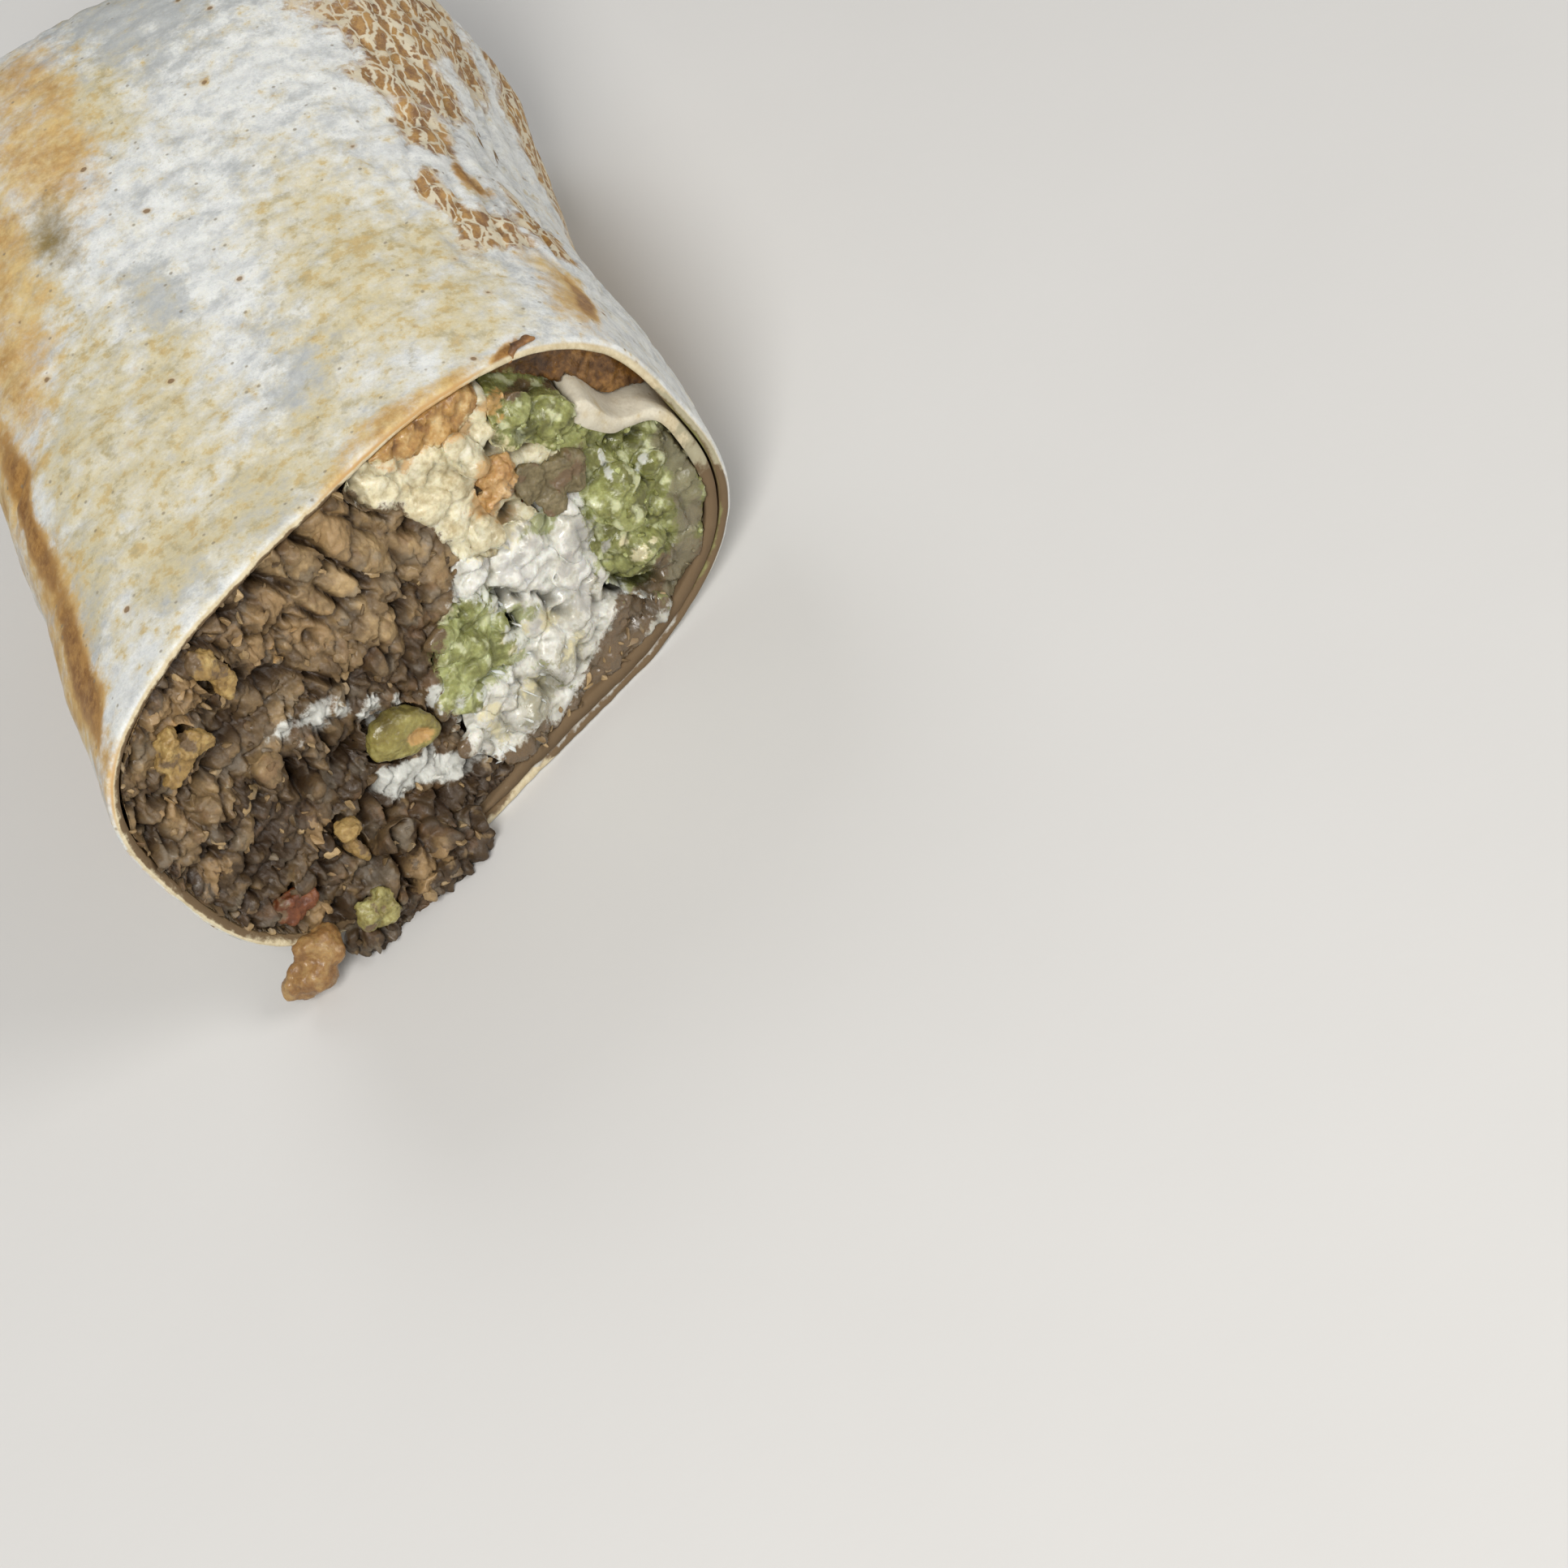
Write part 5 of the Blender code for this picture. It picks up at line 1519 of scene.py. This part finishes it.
def make_burnt_flake(material):
    """A scorched flake of dough and a dark splinter on the rim's top."""
    rng = random.Random(61)
    heap = Heap()
    base = skin_point(math.radians(37.0), 0.6 * MM, -0.1 * MM, LENGTH)
    for k in range(5):
        t = k / 4.0
        points, faces = lump(3, rng, sizes(0.85, 0.42, 0.6), 20.0 - 50.0 * t, rng.uniform(-20, 20))
        place = base + ACROSS * (t - 0.5) * 3.2 * MM + UPWARD * (0.3 - (t - 0.45) ** 2 * 2.4) * MM
        heap.add(points + np.array(place), faces)
    points, faces = lump(3, rng, sizes(0.2, 0.7, 0.2), 14.0, 10.0)
    heap.add(points + np.array(base + ACROSS * -0.7 * MM + UPWARD * 0.9 * MM + OUTWARD * 0.2 * MM), faces)
    points, faces = fused(heap, 0.18 * MM, 1)
    marks = blank_marks(points, deep=unit((points[:, 2] - base.z) / (1.2 * MM)))
    make_piece("scorched_flake", points, faces, material, marks, "tortilla")


# ---------------------------------------------------------------- the fillings, one by one

# Each lump: x and z on the cut, its sizes in mm, and where given its turn, lift, sharpness and facets.
BEEF_LUMPS = [
    (-0.6, 17.0, (2.4, 5.0, 1.9), 18.0), (-5.6, 19.6, (2.2, 4.0, 1.8), 24.0), (-2.8, 4.6, (3.6, 3.4, 1.8), -20.0),
    (-12.2, -17.0, (2.6, 2.0, 2.0), 30.0), (-20.8, 3.2, (2.2, 1.8, 1.7), -30.0), (-17.4, -4.4, (1.8, 1.5, 1.6), 10.0),
    (-13.6, -23.0, (1.5, 3.4, 1.8), 30.0), (-23.0, 16.8, (1.3, 2.8, 1.5), 15.0), (-2.6, 8.4, (2.0, 1.7, 1.6), 0.0),
    (-8.6, -20.4, (2.2, 1.7, 1.6), 20.0), (-22.6, -12.6, (2.2, 1.5, 1.6), -30.0), (-28.4, 4.0, (1.8, 2.4, 1.5), 0.0)]
BULGE_LUMPS = 9
BULGE_Z = -24.2
GUACAMOLE_SIDE_LUMPS = [
    (32.2, -4.0, (1.6, 1.5, 1.3), 0.0, 0.5), (27.3, -12.6, (4.0, 3.4, 2.4)), (25.4, 10.4, (3.2, 2.6, 2.0)),
    (21.6, 13.6, (2.4, 2.8, 1.8)), (27.0, -4.6, (3.2, 3.8, 2.0), 20.0), (31.6, -11.6, (2.6, 3.2, 2.0))]
GUACAMOLE_LOW_LUMPS = [(x, z, (2.2, 1.8, 1.0), turn, -0.1) for x, z, turn in (
    (3.4, -3.4, 20.0), (6.6, -1.8, -10.0), (7.8, -6.4, 30.0), (4.6, -8.4, 0.0), (8.8, -9.6, 20.0), (2.0, -7.4, 50.0),
    (5.4, -5.4, 0.0), (1.6, -10.0, 0.0))] + [(x, z, (1.5, 1.2, 1.1), turn, 0.1) for x, z, turn in (
        (10.6, -7.4, 20.0), (10.8, -10.6, -30.0), (2.4, -0.9, 0.0), (6.0, 0.8, 20.0), (-0.6, -8.6, 40.0),
        (3.6, -12.2, 0.0))]
CREAM_LUMPS = [
    (14.6, 0.4, (3.2, 2.2, 1.7), 25.0, 0.3, 12.0, 8), (13.6, -2.2, (2.6, 2.0, 1.4), -15.0, 0.2, 12.0, 8),
    (20.6, -3.2, (1.8, 3.4, 1.7), -8.0, 0.3), (19.0, -7.6, (2.4, 2.6, 1.7)), (17.6, -12.2, (2.6, 3.2, 1.5), 0.0, -0.3),
    (12.6, -9.4, (2.4, 1.6, 1.5), 30.0, 0.2), (12.6, -15.4, (3.6, 3.0, 1.6), 20.0),
    (7.4, -18.4, (3.6, 2.4, 1.6), -20.0), (4.6, -12.8, (2.2, 1.7, 1.4), 20.0, 0.2),
    (-0.1, -15.9, (1.9, 1.6, 1.2), 0.0, 0.2), (2.8, -15.2, (0.9, 2.4, 1.1), 20.0, 0.2, 12.0),
    (21.7, -2.4, (1.3, 3.0, 1.4), -6.0, 0.5), (10.4, -3.0, (1.6, 1.3, 1.2), 20.0, 0.4),
    (9.0, 1.2, (1.6, 1.2, 1.2), 0.0, 0.3), (0.6, -12.0, (1.5, 1.2, 1.1), 30.0, 0.3)]
CHEESE_LUMPS = [
    (13.0, 5.0, (2.0, 2.0, 1.5), 0.0, 0.4), (15.6, 14.6, (1.7, 4.4, 1.5), 14.0, 0.1),
    (4.6, 19.6, (2.0, 3.2, 1.5), 22.0, 0.1), (9.0, 13.6, (2.4, 2.0, 1.4))]


def make_beef():
    """The ground beef: packed slabs, chunks and bits, a bulge under the rim, and loose chips on them."""
    finish = beef_finish()
    rng = random.Random(5)
    lumps = [lump_at(rng, *row, -0.5, 12.0, 8, 0.15) for row in BEEF_LUMPS]
    for k in range(BULGE_LUMPS):
        x = -21.0 + 1.9 * k
        out = 2.6 - 0.035 * (x + 13.0) ** 2 + rng.uniform(-0.3, 0.3)
        place = Vector((x, cut_y(x, BULGE_Z), BULGE_Z)) * MM + OUTWARD * out * MM
        points, faces = lump(4, rng, sizes(2.0, 2.4, 1.8), rng.uniform(-40, 40), 0.0, 9, 10.0, 0.15)
        lumps.append((points + np.array(place), faces))
    beef = make_filling("beef_crumbled", "ground_beef", "ground_beef", finish, beef_relief, lumps, 0.29, 1)
    loose, points = front_share(beef, 41.0)
    places = seen_places(points)
    bare = spots(places, [(-5.9, -7.3, 5.0, 2.0), (-14.0, 3.0, 2.0, 1.0), (-8.0, -12.5, 3.0, 1.0)])
    bare = bare + ramp(places[:, 0], -11.0, -8.0) * ramp(places[:, 1], 8.0, 12.0) * 0.7
    kinds = chip_kinds("beef_chip", random.Random(31), 7, (0.95, 1.4, 0.6))
    scatter("beef_loose_chips", beef, loose * unit(1.0 - bare), kinds, finish, "ground_beef",
            1.9, 0.35, 1.0, 4)
    return beef


def make_guacamole():
    """The large dollop by the flap and the small one near the middle, of one mash."""
    # The pale flecks: pale bits of the mash, and painted highlights on it.
    finish = food_finish("guacamole_mash", ((0.145, 0.145, 0.038), (0.275, 0.285, 0.095), (0.46, 0.49, 0.215)),
                         2.4, 1.0, ("green",), rough=(0.40, 0.24), tinting=0.24, shadow=0.8,
                         flecks=((0.66, 0.68, 0.42), 2.1, 0.53, 0.66, 0.8))
    rng = random.Random(21)
    side = make_filling("guacamole_mash_side", "guacamole_side", "guacamole", finish,
                        curd_relief(3.0, 3.0, 55.0, 0.40, -0.06, 0.6), lumps_at(rng, GUACAMOLE_SIDE_LUMPS), 0.32, 3)
    make_filling("guacamole_mash_low", "guacamole_low", "guacamole", finish,
                 curd_relief(13.0, 3.0, 60.0, 0.34, 0.24, 0.5), lumps_at(rng, GUACAMOLE_LOW_LUMPS), 0.30, 2)
    return side


def make_cream():
    """The smeared sour cream, and its margin by the right wall."""
    finish = food_finish("sour_cream_smeared", ((0.50, 0.475, 0.38), (0.72, 0.71, 0.64), (0.87, 0.88, 0.84)),
                         2.6, 2.0, ("white",), rough=(0.34, 0.2), bump=0.14, soft=0.25, shadow=0.85, tinting=0.16,
                         flecks=((0.47, 0.46, 0.44), 2.6, 0.54, 0.68, 0.6))
    placed = lumps_at(random.Random(23), CREAM_LUMPS)
    return make_filling("sour_cream_mass", "sour_cream", "sour_cream", finish,
                        curd_relief(23.0, 3.6, 35.0, 0.50, 0.05, 0.5), placed, 0.32, 3)


def make_cheese():
    """Crumbled, half-melted cheese at the top middle."""
    finish = food_finish("cheese_crumbled", ((0.50, 0.41, 0.23), (0.72, 0.66, 0.45), (0.84, 0.82, 0.68)), 2.6, 3.0,
                         ("yellow",), rough=(0.46, 0.2), soft=0.22, shadow=0.85, tinting=0.16)
    make_filling("cheese_crumbs", "cheese", "cheese", finish, curd_relief(33.0, 2.8, 20.0, 0.42, 0.05, 0.35),
                 lumps_at(random.Random(24), CHEESE_LUMPS), 0.30)


def make_salsa_and_beans():
    """The salsa under the top rim and the bean sauce in the pocket behind the flap."""
    finish = food_finish("salsa_soaked", ((0.30, 0.145, 0.042), (0.46, 0.27, 0.09), (0.62, 0.45, 0.22)), 2.6, 4.0,
                         ("orange",), rough=(0.36, 0.2))
    make_filling("salsa_mass", "salsa", "salsa", finish, mash_relief(0.40, 0.18, 0.06, 43.0, 3.6))
    finish = food_finish("bean_sauce_dark", ((0.042, 0.017, 0.006), (0.165, 0.076, 0.018), (0.37, 0.19, 0.055)),
                         4.6, 5.0, ("orange", "beef"), rough=(0.4, 0.2), bump=0.25, soft=0.05)
    make_filling("bean_sauce_pocket", "bean_sauce", "bean_sauce", finish, mash_relief(0.4, 0.2, 0.1, 53.0),
                 swells=[(28.5, 11.0, 4.0, 1.6)])


# Only what the beef leaves on them stains the small pieces.
BEEF_STAINS_ONLY = ("green", "white", "yellow", "orange", "grey", "dull", "mauve")
# Each finish: its name, slot, three tones, pattern size, seed and sheen, then its pieces; each piece: its name, node,
# seed, form, and chips by place, half sizes and turn.
SMALL_PIECES = [
    ("corn_and_onion_ochre", "corn", ((0.20, 0.12, 0.038), (0.32, 0.205, 0.07), (0.46, 0.33, 0.13)), 1.5, 7.0,
     {"rough": (0.52, 0.18), "bump": 0.3, "soft": 0.12, "gloss": 0.4}, [
         ("corn_piece_1", "corn_kernel_1", 71, {},
          [(-1.2, 1.4, 2.1, 1.5, 40.0), (1.0, -0.4, 2.5, 1.5, -35.0), (-1.4, -1.4, 1.9, 1.3, 10.0)]),
         ("corn_piece_2", "corn_kernel_2", 72, {}, [(-0.3, 1.7, 1.5, 2.3, 15.0), (0.8, -1.0, 1.4, 2.0, -10.0)]),
         ("corn_piece_3", "corn_kernel_3", 73, {}, [(0.5, 1.3, 1.3, 1.6, 0.0), (0.0, -1.3, 0.9, 2.2, 10.0)])]),
    ("green_pepper_flesh", "green_pepper", ((0.14, 0.115, 0.03), (0.27, 0.23, 0.075), (0.43, 0.40, 0.165)), 1.6, 8.0,
     {"rough": (0.42, 0.16), "bump": 0.25, "soft": 0.15}, [
         ("green_pepper_bit", "pepper_piece_green", 81, {"lift": 2.8, "soaked": 0.15},
          [(-2.0, 1.7, 2.0, 2.2, 30.0), (-1.4, 0.5, 1.8, 2.1, -20.0), (-0.8, 2.1, 1.3, 1.3, 0.0)])]),
    ("red_pepper_flesh", "red_pepper", ((0.085, 0.024, 0.007), (0.145, 0.043, 0.013), (0.22, 0.078, 0.024)), 1.8, 9.0,
     {"rough": (0.5, 0.16), "bump": 0.25, "soft": 0.12}, [
         ("red_pepper_bit", "pepper_piece_red", 82, {"soaked": 0.2},
          [(-0.4, 0.2, 2.3, 1.7, 20.0), (1.3, -0.9, 1.4, 1.2, 0.0)])]),
    ("tomato_flesh", "tomato", ((0.34, 0.17, 0.05), (0.48, 0.29, 0.115), (0.62, 0.45, 0.25)), 2.2, 10.0,
     {"rough": (0.42, 0.14), "soft": 0.25}, [
         ("tomato_bit", "tomato_piece", 83, {"lift": 0.5, "soaked": 0.0},
          [(0.7, 0.9, 2.2, 1.9, 0.0), (0.6, -0.9, 1.9, 1.5, 20.0), (-1.4, -1.0, 1.4, 1.0, 0.0)])]),
    ("onion_flesh", "onion", ((0.10, 0.078, 0.036), (0.165, 0.13, 0.062), (0.25, 0.205, 0.115)), 2.2, 11.0,
     {"rough": (0.5, 0.16), "bump": 0.25, "soft": 0.15}, [
         ("onion_bit", "onion_piece", 84, {"lift": 0.3, "soaked": 0.25, "thick": 0.9, "facets": 6, "sharpness": 18.0},
          [(-1.7, 1.6, 2.0, 2.9, 12.0), (-0.9, -0.6, 1.9, 2.6, 5.0), (2.4, 0.4, 2.1, 3.0, 20.0),
           (4.0, -0.6, 1.6, 2.2, -10.0)])]),
]


def make_small_pieces():
    """The olive, the corn, pepper, tomato and onion, the drop under the rim and the scorched flake on it."""
    make_olive(food_finish("olive_flesh", ((0.17, 0.13, 0.032), (0.255, 0.215, 0.058), (0.37, 0.33, 0.12)), 2.4, 6.0,
                           ("green", "white", "yellow"), rough=(0.42, 0.16), bump=0.16, soft=0.15))
    for finish_name, slot, tones, size, seed, look, pieces in SMALL_PIECES:
        finish = food_finish(finish_name, tones, size, seed, BEEF_STAINS_ONLY, **look)
        for name, node, piece_seed, form, parts in pieces:
            make_cluster(name, node, slot, finish, parts, piece_seed, **form)
    make_drip(food_finish("drip_sauce", ((0.16, 0.075, 0.024), (0.27, 0.145, 0.050), (0.39, 0.25, 0.10)), 2.0, 12.0,
                          rough=(0.4, 0.14), stains=False))
    make_burnt_flake(food_finish("scorched_dough", ((0.16, 0.07, 0.02), (0.28, 0.13, 0.04), (0.40, 0.22, 0.08)),
                                 1.6, 14.0, rough=(0.6, 0.1), soft=0.05, stains=False, shadow=0.85))


def scatter_crumbs(beef, side, cream):
    """Shreds on the cream, crumbs of beef on its soiled margin, and bits on the large dollop."""
    white = food_finish("cream_white", ((0.50, 0.49, 0.44), (0.68, 0.68, 0.63), (0.80, 0.81, 0.79)), 1.4, 13.0,
                        rough=(0.34, 0.14), bump=0.1, soft=0.25, stains=False)
    loose, points = front_share(cream, 42.0)
    places = seen_places(points)
    margin = spots(as_seen(points), trail(MARGIN_PATH, 2.4, 1.0))
    loose = loose * spots(places, [(9.0, -17.0, 8.0, 1.2), (3.0, -14.5, 3.0, 1.0), (15.0, -12.0, 4.0, 0.8)])
    loose = loose * (places[:, 1] > -22.0) * (1.0 - ramp(margin, 0.02, 0.2)) * (places[:, 0] < 17.0)
    shreds = chip_kinds("cream_shred", random.Random(33), 5, (0.3, 1.5, 0.25), 9, 0.2)
    scatter("cream_shreds", cream, unit(loose), shreds, white, "sour_cream", 1.7, 0.6, 1.1, 6, 0.12)
    loose, _ = front_share(cream, 45.0)
    crumbs = chip_kinds("margin_crumb", random.Random(35), 5, (0.7, 1.2, 0.45))
    scatter("margin_beef_crumbs", cream, unit(0.3 + loose) * ramp(margin, 0.3, 0.8), crumbs,
            beef.data.materials[0], "ground_beef", 1.1, 0.35, 1.0, 9, 1.0,
            ("white", "green", "yellow", "dull", "mauve", "grey"))
    loose, _ = front_share(side, 44.0)
    bits = chip_kinds("guacamole_bit", random.Random(34), 5, (0.55, 0.7, 0.45), 12, 0.25)
    scatter("guacamole_bits", side, loose, bits, side.data.materials[0], "guacamole", 1.7, 0.4, 1.1, 8)


def main():
    """Makes the camera, the floor, the light and every piece."""
    make_camera()
    make_floor()
    make_light()
    dough = tortilla_finish()
    make_tortilla(dough)
    make_inner_edge(dough)
    beef = make_beef()
    side = make_guacamole()
    cream = make_cream()
    make_cheese()
    make_salsa_and_beans()
    make_small_pieces()
    scatter_crumbs(beef, side, cream)


SHARES = share_maps()
SCATTER = scatter_tree()
main()
